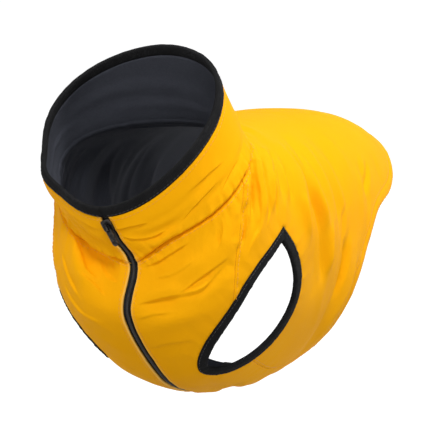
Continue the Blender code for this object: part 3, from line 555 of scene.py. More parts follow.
def wholeHem(curves):
    return np.vstack([curves["frontHem"][::-1], curves["hem"][1:-1], curves["frontHem"] * [1, -1]])


coarse = cutCurves(sewing["pitch"])
collarSeamWhole, hemWhole = wholeCollarSeam(coarse)[::-1], wholeHem(coarse)
zipRun = np.vstack([coarse["zip"], [(1.2, 180)]])

# line, groove depth, groove half width, pucker height, pucker reach, wave length, closed
pulledLines = [
    (collarSeamWhole, 0.0025, 0.0021, 0.00085, 0.0085, 0.0125, False),
    (hemWhole, 0.0000, 0.0020, 0.00022, 0.0090, 0.0140, False),
    (coarse["ring"], 0.0000, 0.0020, 0.00040, 0.0080, 0.0110, True),
    (rightSide(coarse["ring"]), 0.0000, 0.0020, 0.00040, 0.0080, 0.0110, True),
    (coarse["shoulder"], 0.0001, 0.0016, 0.00030, 0.0060, 0.0105, False),
    (rightSide(coarse["shoulder"]), 0.0001, 0.0016, 0.00030, 0.0060, 0.0105, False),
    (coarse["side"], 0.0001, 0.0016, 0.00030, 0.0060, 0.0120, False),
    (rightSide(coarse["side"]), 0.0001, 0.0016, 0.00030, 0.0060, 0.0120, False),
    (zipRun, 0.0000, 0.0020, 0.00034, 0.0100, 0.0150, False),
    (zipRun * [1, -1], 0.0000, 0.0020, 0.00034, 0.0100, 0.0170, False),
]


def leftOf(line, spots):
    # 1 on the left of a line's way, -1 on its right
    drawn = flatNet(line)
    middle = (drawn[1:] + drawn[:-1]) / 2
    nearest = np.argmin(np.linalg.norm(spots[:, None] - middle[None], axis=2), axis=1)
    run, reach = (drawn[1:] - drawn[:-1])[nearest], spots - middle[nearest]
    return np.where(run[:, 0] * reach[:, 1] - run[:, 1] * reach[:, 0] > 0, 1.0, -1.0)


def creaseHeight(spots):
    # steps and soft lines of cloth, uneven along their way and dying away at both ends
    height = np.zeros(len(spots))
    for number, (through, width, lift) in enumerate(sharpCreases + softCreases):
        line = smoothRun(through, creaseLook["pitch"])
        drawn = flatNet(line)
        reach = creaseLook["reach"] * width
        close = np.all((spots > drawn.min(axis=0) - reach) & (spots < drawn.max(axis=0) + reach), axis=1)
        if not close.any():
            continue
        far, along = nearestOn(line, spots[close])
        part = np.clip(along / np.linalg.norm(np.diff(drawn, axis=0), axis=1).sum(), 0, 1)
        taper = np.clip(np.minimum(part / creaseLook["startFade"], (1 - part) / creaseLook["endFade"]), 0, 1)
        taper = taper * taper * (3 - 2 * taper)
        if number < len(sharpCreases):
            waves = creaseLook["sharpWaver"]
            side = leftOf(line, spots[close])
            shape = 0.5 * np.tanh(far * side / creaseLook["stepWidth"]) * np.exp(-np.abs(far) / width)
        else:
            waves = creaseLook["softWaver"]
            share, place, spread = creaseLook["softSides"]
            shape = np.exp(-(far / width)**2) - share * np.exp(-((far - place * width) / (spread * width))**2)
        waver = sum((amount * np.sin(along / wave + shift * number) for amount, wave, shift in waves), 1)
        height[close] += lift * taper * waver * shape
    return height


def creaseRows():
    # rows of points along both sides of each sharp crease, so that the net of the cloth follows it
    rows = []
    for through, width, lift in sharpCreases:
        drawn = flatNet(smoothRun(through, creaseLook["rowPitch"]))
        run = unit(np.gradient(drawn, axis=0))
        rows += [fromNet(drawn + pairs(-run[:, 1], run[:, 0]) * aside) for aside in creaseLook["rows"]]
    return rows


def sewnHeight(place):
    # what sewing and the creases add to the skin
    turned = withinTurn(place)
    turned[:, 1] = np.where(turned[:, 1] <= -179.999, 180 * np.sign(place[:, 1]), turned[:, 1])
    spots = flatNet(turned)
    fromZip = zipDistance(turned)
    height = foldHeight(place, fineFolds)
    height += creaseHeight(spots) * (1 - np.exp(-(fromZip / (0.4 * wornForm["zipStiff"]))**2))
    # a groove ends as a shallow one where the zip's tape lies under it
    kept = 1 - sewing["tapeShallow"] * np.exp(-(fromZip / sewing["tapeReach"])**4)
    for number, (line, groove, grooveWidth, pucker, reach, wave, closed) in enumerate(pulledLines):
        far, along = nearestOn(line, spots, closed)
        phase = along / wave * 2 * math.pi
        ripple = sum(share * np.sin(phase * waves + shift * number)
                     for share, waves, shift in sewing["ripples"]) / sewing["rippleSum"]
        rise = np.clip(far / sewing["puckerFrom"], sewing["puckerLeast"], 1)
        height += pucker * ripple * np.exp(-far / reach) * rise
        height -= groove * np.exp(-(far / grooveWidth)**2) * kept
    fromHem, fromSeam = nearestOn(hemWhole, spots)[0], nearestOn(collarSeamWhole, spots)[0]
    lift, half, ramp = sewing["hemStep"]
    step = np.clip((sewing["hemDepth"] + half - fromHem) / ramp, 0, 1)
    height += lift * step * step * (3 - 2 * step)
    above, below, reach, rise = sewing["seamStep"]
    overSeam = turned[:, 0] > edgeStation(cutLines["collarSeam"], turned[:, 1])
    height += np.where(overSeam, above, below) * np.exp(-fromSeam / reach) * (1 - np.exp(-fromSeam / rise))
    pull, width = sewing["hemPull"]
    return height - pull * np.exp(-((fromHem - sewing["hemDepth"]) / width)**2)


def linked(name, data):
    made = bpy.data.objects.new(name, data)
    scene.collection.objects.link(made)
    return made


def finished(name, points, faces, uv, material, node, paintedHighlight=None, backing=None):
    # a cloth piece with its own flat metres, a painted highlight along its turned edges, and its dark back
    mesh = bpy.data.meshes.new(name)
    mesh.from_pydata([tuple(p) for p in points], [], faces)
    mesh.update()
    layer = mesh.uv_layers.new(name="UVMap")
    corners = np.zeros(len(mesh.loops), np.int32)
    mesh.loops.foreach_get("vertex_index", corners)
    layer.data.foreach_set("uv", np.asarray(uv, np.float32)[corners].ravel())
    if paintedHighlight is not None:
        mesh.attributes.new("paintedEdgeHighlight", "FLOAT", "POINT").data.foreach_set("value", paintedHighlight.astype(np.float32))
    mesh.shade_smooth()
    mesh.materials.append(material)
    if backing:
        mesh.materials.append(navyLining)
        side = np.zeros(len(mesh.polygons), np.int32)
        side[backing] = 1
        mesh.polygons.foreach_set("material_index", side)
    piece = linked(name, mesh)
    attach(piece, "jacket")
    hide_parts(node)
    print(name, len(faces), "faces")
    return piece


# how a cut edge turns down, how far the painted highlight of a turned edge reaches, and how the wall thins
# under creases
edgeLook = {
    "rows": (0.35, 1.0),       # rows of points beside the edge, in shares of the roll
    "sharpCorner": 0.05,
    "seamReach": 0.0018,       # so near a seam the edge turns down only by a share
    "seamShare": 0.45,
    "backShare": 0.3,
    "lightReach": 0.004,
    "lightWidth": 0.0012,
    "insideFollows": 0.6,      # how much of a crease the inside takes part in, and the thinnest wall
    "thinnest": 0.7,
    "liningFollows": 0.9,
}


def clothPanel(name, stretches, cell, depth, wall, roll, material, node, relief=True):
    # stretches: (line, how far the cloth stays back from it, whether its turned edge gets a painted highlight)
    outline = np.vstack([line[:-1] for line, back, lit in stretches])
    distance = np.concatenate([np.full(len(line) - 1, back) for line, back, lit in stretches])
    litEdge = np.concatenate([np.full(len(line) - 1, lit) for line, back, lit in stretches])
    flat = flatNet(outline)
    area = np.sum(flat[:, 0] * np.roll(flat[:, 1], -1) - flat[:, 1] * np.roll(flat[:, 0], -1))
    if area < 0:
        outline = outline[::-1]
        distance, litEdge = np.roll(distance[::-1], -1), np.roll(litEdge[::-1], -1)
    point, normal = skin(outline)
    inward = unit(np.cross(unit(np.roll(point, -1, axis=0) - point), normal))
    before = np.roll(inward, 1, axis=0)
    near = np.roll(distance, 1)

    def setBack(extra):
        # the outline moved inwards, with its corners mitred
        cos = np.sum(inward * before, axis=1)
        sharp = 1 - cos**2 > edgeLook["sharpCorner"]
        divide = np.where(sharp, 1 - cos**2, 1)
        own, last = distance + extra, near + extra
        first = np.where(sharp, (own - last * cos) / divide, own / (1 + cos))
        second = np.where(sharp, (last - own * cos) / divide, own / (1 + cos))
        return moveBy(outline, inward * first[:, None] + before * second[:, None])

    cut = setBack(0.0)
    rings = [setBack(roll * share) for share in edgeLook["rows"]] + creaseRows() if roll else ()
    net, triangles, edgeAt = fillOutline(cut, cell, rings)
    spots = flatNet(net)
    onSeam = (distance == halfGap) | (near == halfGap)
    base, out = skin(net, depth)
    turnedIn, paintedHighlight = 0, np.zeros(len(net))
    if relief:
        # cloth turns down over a cut edge, and far less where it is sewn to the next piece
        far = nearestOn(cut, spots, True)[0]
        nearSeam = nearestPoint(flatNet(cut[onSeam]), spots) < edgeLook["seamReach"]
        short = np.clip(1 - far / roll, 0, 1)
        bend = roll * np.where(nearSeam, edgeLook["seamShare"], 1.0)
        lift = sewnHeight(net) - bend * (1 - np.sqrt(np.maximum(1 - short**2, 0)))
        under = np.minimum(lift * edgeLook["insideFollows"] - wall, lift - edgeLook["thinnest"] * wall)
        turnedIn = out * (edgeLook["backShare"] * roll * short**2)[:, None]
        # a painted highlight, in the cloth's colour, along the marked turned edges beside the zip
        litLine = cut[(litEdge > 0) | (np.roll(litEdge, 1) > 0)]
        if len(litLine):
            gap = nearestPoint(flatNet(litLine), spots)
            gap = np.minimum(gap, far + 10 * (gap > edgeLook["lightReach"]))
            paintedHighlight = np.exp(-(gap / edgeLook["lightWidth"])**2)
    else:
        lift = edgeLook["liningFollows"] * np.minimum(sewnHeight(net), 0)
        under = lift - wall
    outside = base + out * lift[:, None]
    inside = base + out * under[:, None] - turnedIn
    a, b, c = (base[[f[k] for f in triangles]] for k in range(3))
    facing = -1 if np.sum(np.cross(b - a, c - a) * out[[f[0] for f in triangles]]) < 0 else 1
    count, half = len(net), len(triangles)
    faces = [f[::facing] for f in triangles] + [[k + count for k in f[::-facing]] for f in triangles]
    used = {(f[k], f[(k + 1) % 3]) for f in faces[:half] for k in range(3)}
    rims = sorted((p, q) for p, q in used if (q, p) not in used)
    faces += [[q, p, p + count, q + count] for p, q in rims]
    atSeam = set(edgeAt[onSeam].tolist())
    dark = list(range(half, 2 * half))
    dark += [2 * half + k for k, (p, q) in enumerate(rims) if p in atSeam and q in atSeam]
    return finished(name, np.vstack([outside, inside]), faces, np.vstack([spots, spots]), material, node,
                    np.concatenate([paintedHighlight, paintedHighlight * 0]), dark if relief else None)


# ripples along a binding: waves round it and share
bandRipples = ((31, 0.5), (43, 0.7), (58, 0.5), (19, 0.4))


def sweptBand(name, railA, railB, section, closed, material, node, ripple=0.0):
    # section: part of the way from rail A to rail B, and depth under the skin
    count, sides = len(railA), len(section)
    middle = skin((railA + railB) / 2)[0]
    step = np.linalg.norm(np.roll(middle, -1, axis=0) - middle, axis=1)
    along = np.concatenate([[0], np.cumsum(step)[:-1]])
    width = np.linalg.norm(skin(railA)[0] - skin(railB)[0], axis=1).mean()
    turn = along / (along[-1] + step[-1]) * 2 * math.pi
    waves = sum(np.sin(turn * number + number) * share for number, share in bandRipples)
    rings, uvRows, travelled, last = [], [], 0.0, None
    for part, depth in section:
        point, normal = skin(railA + (railB - railA) * part, depth)
        rings.append(point + normal * (ripple * waves * (1 if depth < 0.0012 else 0.3))[:, None])
        spot = (part * width, depth)
        travelled += 0 if last is None else math.dist(spot, last)
        last = spot
        uvRows.append(pairs(along, travelled))
    points, uv = np.stack(rings, axis=1), np.stack(uvRows, axis=1)
    faces = []
    for k in range(count if closed else count - 1):
        n = (k + 1) % count
        faces += [[k * sides + j, k * sides + (j + 1) % sides, n * sides + (j + 1) % sides, n * sides + j]
                  for j in range(sides)]
    if not closed:
        faces += [[(count - 1) * sides + j for j in range(sides)], list(range(sides))[::-1]]
    flat = points.reshape(-1, 3)
    tried = faces[:count * sides // 2]
    a, b, c, d = (flat[[f[k] for f in tried]] for k in range(4))
    middles = np.repeat(points.mean(axis=1), sides, axis=0)[[f[0] for f in tried]]
    if np.sum(np.cross(b - a, d - a) * ((a + b + c + d) / 4 - middles)) < 0:
        faces = [f[::-1] for f in faces]
    return finished(name, flat, faces, uv.reshape(-1, 2), material, node)


# node trees: a value is a socket that takes sums, and every node comes from one method
class Value:
    def __init__(self, net, socket):
        self.net = net
        self.socket = socket

    def work(self, operation, other, swapped=False):
        pair = {0: other, 1: self} if swapped else {0: self, 1: other}
        return self.net.add("ShaderNodeMath", {"operation": operation}, pair)["Value"]

    def __add__(self, other):
        return self.work("ADD", other)

    def __radd__(self, other):
        return self.work("ADD", other, True)

    def __sub__(self, other):
        return self.work("SUBTRACT", other)

    def __rsub__(self, other):
        return self.work("SUBTRACT", other, True)

    def __mul__(self, other):
        return self.work("MULTIPLY", other)

    def __rmul__(self, other):
        return self.work("MULTIPLY", other, True)

    def __pow__(self, other):
        return self.work("POWER", other)


class Made:
    def __init__(self, net, node):
        self.net = net
        self.node = node

    def __getitem__(self, name):
        return Value(self.net, self.node.outputs[name])


class Net:
    def __init__(self, tree):
        self.tree = tree

    def add(self, kind, settings=None, sockets=None):
        node = self.tree.nodes.new(kind)
        for key, value in (settings or {}).items():
            setattr(node, key, value)
        for key, value in (sockets or {}).items():
            if isinstance(value, Value):
                self.tree.links.new(value.socket, node.inputs[key])
            else:
                node.inputs[key].default_value = value
        return Made(self, node)


class Shade(Net):
    def __init__(self, name):
        self.material = bpy.data.materials.new(name)
        self.material.use_nodes = True
        super().__init__(self.material.node_tree)
        self.tree.nodes.clear()
        self.place = self.add("ShaderNodeTexCoord")

    def split(self, vector):
        return self.add("ShaderNodeSeparateXYZ", None, {"Vector": vector})

    def mix(self, factor, first, second):
        return self.add("ShaderNodeMix", {"data_type": "RGBA"}, {0: factor, 6: first, 7: second})[2]

    def wave(self, value):
        return self.add("ShaderNodeMath", {"operation": "SINE"}, {0: value})["Value"]

    def threads(self, value, pitch):
        return self.wave(value * (2 * math.pi / pitch))

    def clamp(self, value):
        return self.add("ShaderNodeClamp", None, {"Value": value})["Result"]

    def spread(self, value, low, high):
        return self.add("ShaderNodeMapRange", None, {
            "Value": value, "From Min": low, "From Max": high})["Result"]

    def noise(self, scale, detail=3.0, roughness=0.55):
        return self.add("ShaderNodeTexNoise", None, {
            "Vector": self.place["Object"], "Scale": scale, "Detail": detail, "Roughness": roughness})["Fac"]

    def bump(self, height, distance, strength, under=None):
        below = {"Normal": under} if under is not None else {}
        return self.add("ShaderNodeBump", None, {
            "Height": height, "Distance": distance, "Strength": strength, **below})["Normal"]

    def finish(self, **sockets):
        shader = self.add("ShaderNodeBsdfPrincipled", None, {
            name.replace("_", " "): value for name, value in sockets.items()})
        self.add("ShaderNodeOutputMaterial", None, {"Surface": shader["BSDF"]})
        return self.material


# pale is the colour of a painted highlight laid along the turned edges beside the zip, mixed in by the share
# edgeLight
shellCloth = {"colour": (0.93, 0.415, 0.001, 1), "deep": (0.90, 0.375, 0.001, 1), "pale": (1.0, 0.70, 0.24, 1),
              "roughness": 0.66, "thread": 0.0009, "edgeLight": 0.45,
              "broad": 11.0, "fibre": 900.0, "crumple": 75.0}     # noises a metre


def makeShellCloth():
    shade = Shade("yellowShellCloth")
    flat = shade.split(shade.place["UV"])
    threads = shade.threads(flat["X"], shellCloth["thread"]) * shade.threads(flat["Y"], shellCloth["thread"])
    broad, fibre = shade.noise(shellCloth["broad"]), shade.noise(shellCloth["fibre"], 2.0)
    crumple = shade.noise(shellCloth["crumple"], 5.0, 0.6)
    # the painted highlight along the turned edges, mixed towards the pale colour
    edge = shade.add("ShaderNodeAttribute", {"attribute_name": "paintedEdgeHighlight"})["Fac"]
    tone = shade.mix(shade.clamp(shade.spread(broad, 0.38, 0.68) * 0.45 + fibre * 0.18 + threads * 0.05),
                     shellCloth["colour"], shellCloth["deep"])
    colour = shade.mix(shade.clamp(edge * shellCloth["edgeLight"]), tone, shellCloth["pale"])
    relief = shade.bump(threads, 0.00006, 0.5, shade.bump(crumple, 0.0009, 0.55))
    return shade.finish(Base_Color=colour, Roughness=shellCloth["roughness"] + (fibre - 0.5) * 0.16,
                        Normal=relief, Specular_IOR_Level=0.045)


# the light fleck colour is a painted highlight of the binding's twill
ribbedBinding = {"colour": (0.0045, 0.0045, 0.005, 1), "fleck": (0.040, 0.040, 0.043, 1), "roughness": 0.85,
                 "rib": 0.0011, "row": 0.8, "slant": 1500.0, "broad": 60.0, "fibre": 1300.0}


def makeRibbedBinding():
    shade = Shade("blackRibbedBinding")
    flat = shade.split(shade.place["UV"])
    ribs = shade.threads(flat["X"], ribbedBinding["rib"])
    rowTurn = 2 * math.pi / (ribbedBinding["row"] * ribbedBinding["rib"])
    rows = shade.wave(flat["Y"] * rowTurn + flat["X"] * ribbedBinding["slant"])
    fibre, broad = shade.noise(ribbedBinding["fibre"], 2.0), shade.noise(ribbedBinding["broad"])
    # lighter flecks on the ribs: painted highlights of the twill, scattered at random
    paintedGlints = shade.clamp(shade.spread(fibre + rows * 0.12, 0.52, 0.78) * shade.spread(broad, 0.35, 0.7))
    colour = shade.mix(paintedGlints, ribbedBinding["colour"], ribbedBinding["fleck"])
    relief = shade.bump(ribs * 0.6 + rows * 0.4, 0.00022, 0.8, shade.bump(broad, 0.0006, 0.4))
    return shade.finish(Base_Color=colour, Roughness=ribbedBinding["roughness"] + (fibre - 0.5) * 0.2,
                        Normal=relief, Specular_IOR_Level=0.18)


liningKnit = {"colour": (0.040, 0.043, 0.056, 1), "light": (0.080, 0.084, 0.102, 1), "roughness": 0.88,
              "loop": 0.0013, "broad": 30.0, "fibre": 700.0}


def makeLiningKnit():
    shade = Shade("navyLiningKnit")
    flat = shade.split(shade.place["UV"])
    loops = shade.threads(flat["X"], liningKnit["loop"]) * shade.threads(flat["Y"], liningKnit["loop"])
    fibre, broad = shade.noise(liningKnit["fibre"]), shade.noise(liningKnit["broad"])
    colour = shade.mix(shade.clamp(loops * 0.25 + fibre * 0.5 + broad * 0.3 - 0.1),
                       liningKnit["colour"], liningKnit["light"])
    relief = shade.bump(loops, 0.00025, 0.8, shade.bump(broad, 0.001, 0.5))
    return shade.finish(Base_Color=colour, Roughness=liningKnit["roughness"] + (fibre - 0.5) * 0.15,
                        Normal=relief, Specular_IOR_Level=0.12)


tapeWeave = {"colour": (0.011, 0.011, 0.012, 1), "light": (0.035, 0.035, 0.038, 1), "roughness": 0.75,
             "thread": 0.0008, "slant": 5200.0, "fibre": 1100.0}


def makeTapeWeave():
    shade = Shade("blackZipTape")
    flat = shade.split(shade.place["UV"])
    rows = shade.wave(flat["X"] * (2 * math.pi / tapeWeave["thread"]) + flat["Y"] * tapeWeave["slant"])
    fibre = shade.noise(tapeWeave["fibre"], 2.0)
    colour = shade.mix(shade.clamp(rows * 0.2 + fibre * 0.6), tapeWeave["colour"], tapeWeave["light"])
    return shade.finish(Base_Color=colour, Roughness=tapeWeave["roughness"] + (fibre - 0.5) * 0.2,
                        Normal=shade.bump(rows, 0.00015, 0.7), Specular_IOR_Level=0.3)


zipTeethFinish = {"name": "blackZipTeeth", "colour": (0.013, 0.013, 0.014, 1), "light": (0.05, 0.05, 0.052, 1),
                  "roughness": 0.38, "metallic": 0.0, "scratch": 0.4}
zipMetalFinish = {"name": "blackLacqueredMetal", "colour": (0.02, 0.02, 0.021, 1),
                  "light": (0.18, 0.17, 0.16, 1), "roughness": 0.32, "metallic": 0.85, "scratch": 0.8}


def makeMoulded(look):
    # black moulded teeth and lacquered metal, worn a little on what stands out
    shade = Shade(look["name"])
    worn = shade.add("ShaderNodeNewGeometry")["Pointiness"]
    grain, broad = shade.noise(1600.0), shade.noise(240.0)
    edge = shade.clamp(shade.spread(worn, 0.52, 0.62) * shade.spread(broad, 0.42, 0.6))
    tone = shade.mix(shade.clamp(edge * look["scratch"] + grain * 0.15), look["colour"], look["light"])
    return shade.finish(Base_Color=tone, Roughness=look["roughness"] + (grain - 0.5) * 0.18,
                        Metallic=look["metallic"], Normal=shade.bump(grain, 0.00003, 0.4))


yellowThreadFinish = {"name": "yellowThread", "colour": (0.72, 0.27, 0.004, 1), "light": (0.95, 0.47, 0.03, 1)}
blackThreadFinish = {"name": "blackThread", "colour": (0.014, 0.014, 0.015, 1), "light": (0.05, 0.05, 0.055, 1)}


def makeThread(look):
    shade = Shade(look["name"])
    twist = shade.noise(2600.0, 2.0)
    return shade.finish(Base_Color=shade.mix(twist, look["colour"], look["light"]), Sheen_Weight=0.1,
                        Roughness=0.6 + (twist - 0.5) * 0.2, Normal=shade.bump(twist, 0.00005, 0.6))


yellowCloth, blackBinding, navyLining = makeShellCloth(), makeRibbedBinding(), makeLiningKnit()
blackTape, blackTeeth, blackMetal = makeTapeWeave(), makeMoulded(zipTeethFinish), makeMoulded(zipMetalFinish)
yellowThread, blackThread = makeThread(yellowThreadFinish), makeThread(blackThreadFinish)
print("materials made")

# the back and the two fronts
bodyCloth = {"backCell": 0.0019, "frontCell": 0.0015, "edgePitch": 0.0020, "wall": 0.0017, "roll": 0.0009,
             "seamHalfGap": 0.00003}
cuts = cutCurves(bodyCloth["edgePitch"])
halfGap, halfZip = bodyCloth["seamHalfGap"], cutLines["zipOpening"] / 2


def sewn(*lines):
    return [(line, halfGap, 0) for line in lines]


def shell(name, stretches, cell, wall, node):
    return clothPanel(name, stretches, cell, 0.0, wall, bodyCloth["roll"], yellowCloth, node)


leftCuts = [cuts["shoulder"], cuts["upper"][::-1], cuts["rear"][::-1], cuts["side"]]
backPanel = shell("backPanel", sewn(cuts["nape"], *leftCuts) + [(cuts["hem"], 0.0, 0)]
                  + sewn(*[rightSide(line)[::-1] for line in leftCuts[::-1]]),
                  bodyCloth["backCell"], bodyCloth["wall"], "back_panel")
front = sewn(cuts["shoulder"], cuts["lower"], cuts["side"])
front += [(cuts["frontHem"], 0.0, 0), (cuts["zip"], halfZip, 1)]
chestLeft = shell("chestLeft", sewn(cuts["throat"][::-1]) + front,
                  bodyCloth["frontCell"], bodyCloth["wall"], "chest_left")
chestRight = shell("chestRight", sewn(cuts["rightThroat"][::-1])
                   + [(rightSide(line), back, lit) for line, back, lit in front],
                   bodyCloth["frontCell"], bodyCloth["wall"], "chest_right")
print("body made")

# the collar, its lining and the binding on its rim
collarCloth = {"cell": 0.0015, "liningCell": 0.0024, "wall": 0.0014, "liningWall": 0.0011,
               "liningDepth": 0.0021, "liningFromZip": 0.0126, "endPitch": 0.003,
               "rimFromZip": 0.0001, "rimSteps": 180}
seam = wholeCollarSeam(cuts)
turn = seam[:, 1]
top = belowRim(turn, cutLines["bindingWidth"])


def collarEnd(first, last):
    return smoothRun([first, last], collarCloth["endPitch"])


collar = shell("collarOuter", sewn(seam) + [(collarEnd(seam[-1], top[-1]), halfZip, 1)]
               + sewn(top[::-1]) + [(collarEnd(top[0], seam[0]), halfZip, 1)],
               collarCloth["cell"], collarCloth["wall"], "collar")


def zipAngle(station, aside):
    # the angle at a distance beside the middle of the zip
    station = np.atleast_1d(np.asarray(station, float))
    reach = bodyPoint(pairs(station, 181.0)) - bodyPoint(pairs(station, 179.0))
    return 180.0 - aside / (np.linalg.norm(reach, axis=1) / 2)


liningEnds = zipAngle([seam[-1, 0], top[-1, 0]], collarCloth["liningFromZip"])
lowTurn, highTurn = (np.array([-end, *turn[np.abs(turn) < end - 1], end]) for end in liningEnds)
liningLow, liningHigh = collarSeamLine(lowTurn), belowRim(highTurn, cutLines["bindingWidth"])
collarLining = clothPanel(
    "collarLining", sewn(liningLow) + [(collarEnd(liningLow[-1], liningHigh[-1]), 0.0, 0)]
    + sewn(liningHigh[::-1]) + [(collarEnd(liningHigh[0], liningLow[0]), 0.0, 0)],
    collarCloth["liningCell"], collarCloth["liningDepth"], collarCloth["liningWall"], 0, navyLining,
    "collar_lining", relief=False)

# a binding wraps both faces of the edge: part of the way to its free side, and depth under the skin
bindingShape = {"proud": 0.0006, "inside": 0.0034, "ripple": 0.00012, "gap": 0.00004 / 0.008,
                "armholeRipple": 1.5}
first, proud, deep = bindingShape["gap"], bindingShape["proud"], bindingShape["inside"]
bindingSection = [
    (first, 0.0003), (first + 0.04, -proud * 0.45), (0.12, -proud * 0.95), (0.30, -proud * 0.82),
    (0.55, -proud), (0.78, -proud * 0.95), (0.90, -proud * 0.5), (0.975, 0.0003), (1.0, 0.0011),
    (1.0, 0.0019), (0.975, deep - 0.0007), (0.90, deep - 0.0002), (0.70, deep), (0.30, deep),
    (0.10, deep - 0.0001), (first, deep - 0.0006)]


def binding(name, railA, railB, closed, node, ripple):
    return sweptBand(name, railA, railB, bindingSection, closed, blackBinding, node, ripple)


rimEnd = zipAngle(cutLines["rim"], collarCloth["rimFromZip"])[0]
rimTurn = np.linspace(-rimEnd, rimEnd, collarCloth["rimSteps"])
rimLow, rimHigh = belowRim(rimTurn, cutLines["bindingWidth"]), pairs(cutLines["rim"], rimTurn)
collarBinding = binding("collarBinding", rimLow, rimHigh, False, "collar_binding", bindingShape["ripple"])
print("collar made")

# the armhole bindings: the inner side is the armhole's corners moved in, on a flat scale of the form
armholeBinding = {"steps": 8, "miter": 1.9, "station": 0.01}
corners = np.array(cutLines["armhole"], float)
scale = np.array([np.linalg.norm(v, axis=1).mean() for v in (
    (bodyPoint(corners + [armholeBinding["station"], 0]) - bodyPoint(corners)) / armholeBinding["station"],
    bodyPoint(corners + [0, 1]) - bodyPoint(corners))])
local = corners * scale
forward = unit(np.roll(local, -1, axis=0) - local)
inward = pairs(-forward[:, 1], forward[:, 0])
bisector = unit(inward + np.roll(inward, 1, axis=0))
miter = np.minimum(1 / np.sum(bisector * inward, axis=1), armholeBinding["miter"])
innerCorners = corners + bisector * miter[:, None] * cutLines["bindingWidth"] / scale
rails = [smoothRing([tuple(p) for p in ring], armholeBinding["steps"]) for ring in (corners, innerCorners)]
rightRails = [rightSide(rail) for rail in rails]
armholeRipple = bindingShape["ripple"] * bindingShape["armholeRipple"]
bindingLeft = binding("armholeBindingLeft", *rails, True, "armhole_binding_left", armholeRipple)
bindingRight = binding("armholeBindingRight", *rightRails, True, "armhole_binding_right", armholeRipple)
print("armhole bindings made")

# the zip: tapes and teeth. The slider, the stop and the pull are the frame's own
zipParts = {
    "tapeTop": 0.0026, "tapeWall": 0.0007, "tapeWidth": 0.0120, "pitch": 0.0034, "topPitch": 0.002,
    "tapeRise": 0.003,         # the tape's lower end over the hem, in stations
    "chainRise": 0.022,        # and the chain's
    "sliderDrop": 0.0142,
    "opensBelow": 0.0012,      # where the tapes part, and where the chain ends, beside the slider
    "chainAbove": 0.0008,
    "openHalf": 0.0014,
    "chainPitch": 0.003, "toothPitch": 0.00135, "toothReach": 0.0012, "toothWidth": 0.00052,
    "toothHeight": 0.00085, "toothAside": 0.00105, "toothDepth": 0.00135, "coreHalf": 0.0013,
    "coreSection": [(0, 0.0017), (0.2, 0.0012), (0.8, 0.0012), (1, 0.0017), (1, 0.0023), (0, 0.0023)],
}
hemEnd = cutLines["hem"][-1][1]
sliderAt = belowRim(180.0, zipParts["sliderDrop"])[0, 0]
tapeEnd = belowRim(180.0, cutLines["bindingWidth"] + cutLines["seamGap"])[0, 0]
perMetre = cutLines["rim"] - belowRim(180.0, 1.0)[0, 0]
opensAt, chainEnd = sliderAt - zipParts["opensBelow"] * perMetre, sliderAt + zipParts["chainAbove"] * perMetre


def zipStations(start, end, pitch):
    # stations along the zip, a pitch apart on the skin
    fine = np.linspace(start, end, 300)
    length = lengthAlong(skin(pairs(fine, 180.0))[0])
    return np.interp(np.linspace(0, length[-1], max(1, round(length[-1] / pitch)) + 1), length, fine)


def besideZip(stations, aside, sign=1):
    return pairs(stations, sign * zipAngle(stations, aside))


tapeStations = np.concatenate([zipStations(hemEnd + zipParts["tapeRise"], opensAt, zipParts["pitch"]),
                               zipStations(chainEnd, tapeEnd, zipParts["topPitch"])])
innerEdge = np.where(tapeStations > opensAt, zipParts["openHalf"], cutLines["seamGap"] / 2)
tapeParts = (0, 0.03, 0.25, 0.5, 0.75, 1)
tapeSection = [(part, zipParts["tapeTop"]) for part in tapeParts] + [
    (part, zipParts["tapeTop"] + zipParts["tapeWall"]) for part in tapeParts[::-1]]
for name, sign, node in (("zipTapeLeft", 1, "zip_tape_left"), ("zipTapeRight", -1, "zip_tape_right")):
    tape = sweptBand(name, besideZip(tapeStations, innerEdge, sign),
                     besideZip(tapeStations, zipParts["tapeWidth"], sign), tapeSection, False, blackTape,
                     node)


class Tree(Net):
    def __init__(self, name, inputs):
        super().__init__(bpy.data.node_groups.new(name, "GeometryNodeTree"))
        face = self.tree.interface
        face.new_socket("Geometry", in_out="INPUT", socket_type="NodeSocketGeometry")
        self.keys = {}
        for label, kind, value in inputs:
            socket = face.new_socket(label, in_out="INPUT", socket_type=kind)
            if value is not None:
                socket.default_value = value
            self.keys[label] = socket.identifier
        face.new_socket("Geometry", in_out="OUTPUT", socket_type="NodeSocketGeometry")
        self.given = self.add("NodeGroupInput")

    def finish(self, geometry):
        real = self.add("GeometryNodeRealizeInstances", None, {"Geometry": geometry})
        painted = self.add("GeometryNodeSetMaterial", None,
                           {"Geometry": real["Geometry"], "Material": self.given["Material"]})
        smooth = self.add("GeometryNodeSetShadeSmooth", None, {"Geometry": painted["Geometry"]})
        self.add("NodeGroupOutput", None, {"Geometry": smooth["Geometry"]})


def pathMesh(name, lines):
    # open polylines with the cloth's outward direction at each point
    points, edges, outward = [], [], []
    for point, normal in lines:
        start = len(points)
        points += [tuple(p) for p in point]
        outward += list(normal)
        edges += [(start + k, start + k + 1) for k in range(len(point) - 1)]
    mesh = bpy.data.meshes.new(name)
    mesh.from_pydata(points, edges, [])
    mesh.attributes.new("outward", "FLOAT_VECTOR", "POINT").data.foreach_set(
        "vector", np.array(outward, np.float32).ravel())
    return linked(name, mesh)


def bakeNodes(thing, tree, values, name, material):
    # runs the tree on the object, and keeps its result as a plain mesh
    modifier = thing.modifiers.new("made", "NODES")
    modifier.node_group = tree.tree
    for label, value in {**values, "Material": material}.items():
        modifier[tree.keys[label]] = value
    bpy.context.view_layer.update()
    mesh = bpy.data.meshes.new_from_object(thing.evaluated_get(bpy.context.evaluated_depsgraph_get()))
    mesh.name = name
    thing.modifiers.clear()
    bpy.data.objects.remove(thing)
    if not mesh.materials:
        mesh.materials.append(material)
    piece = linked(name, mesh)
    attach(piece, "jacket")
    return piece


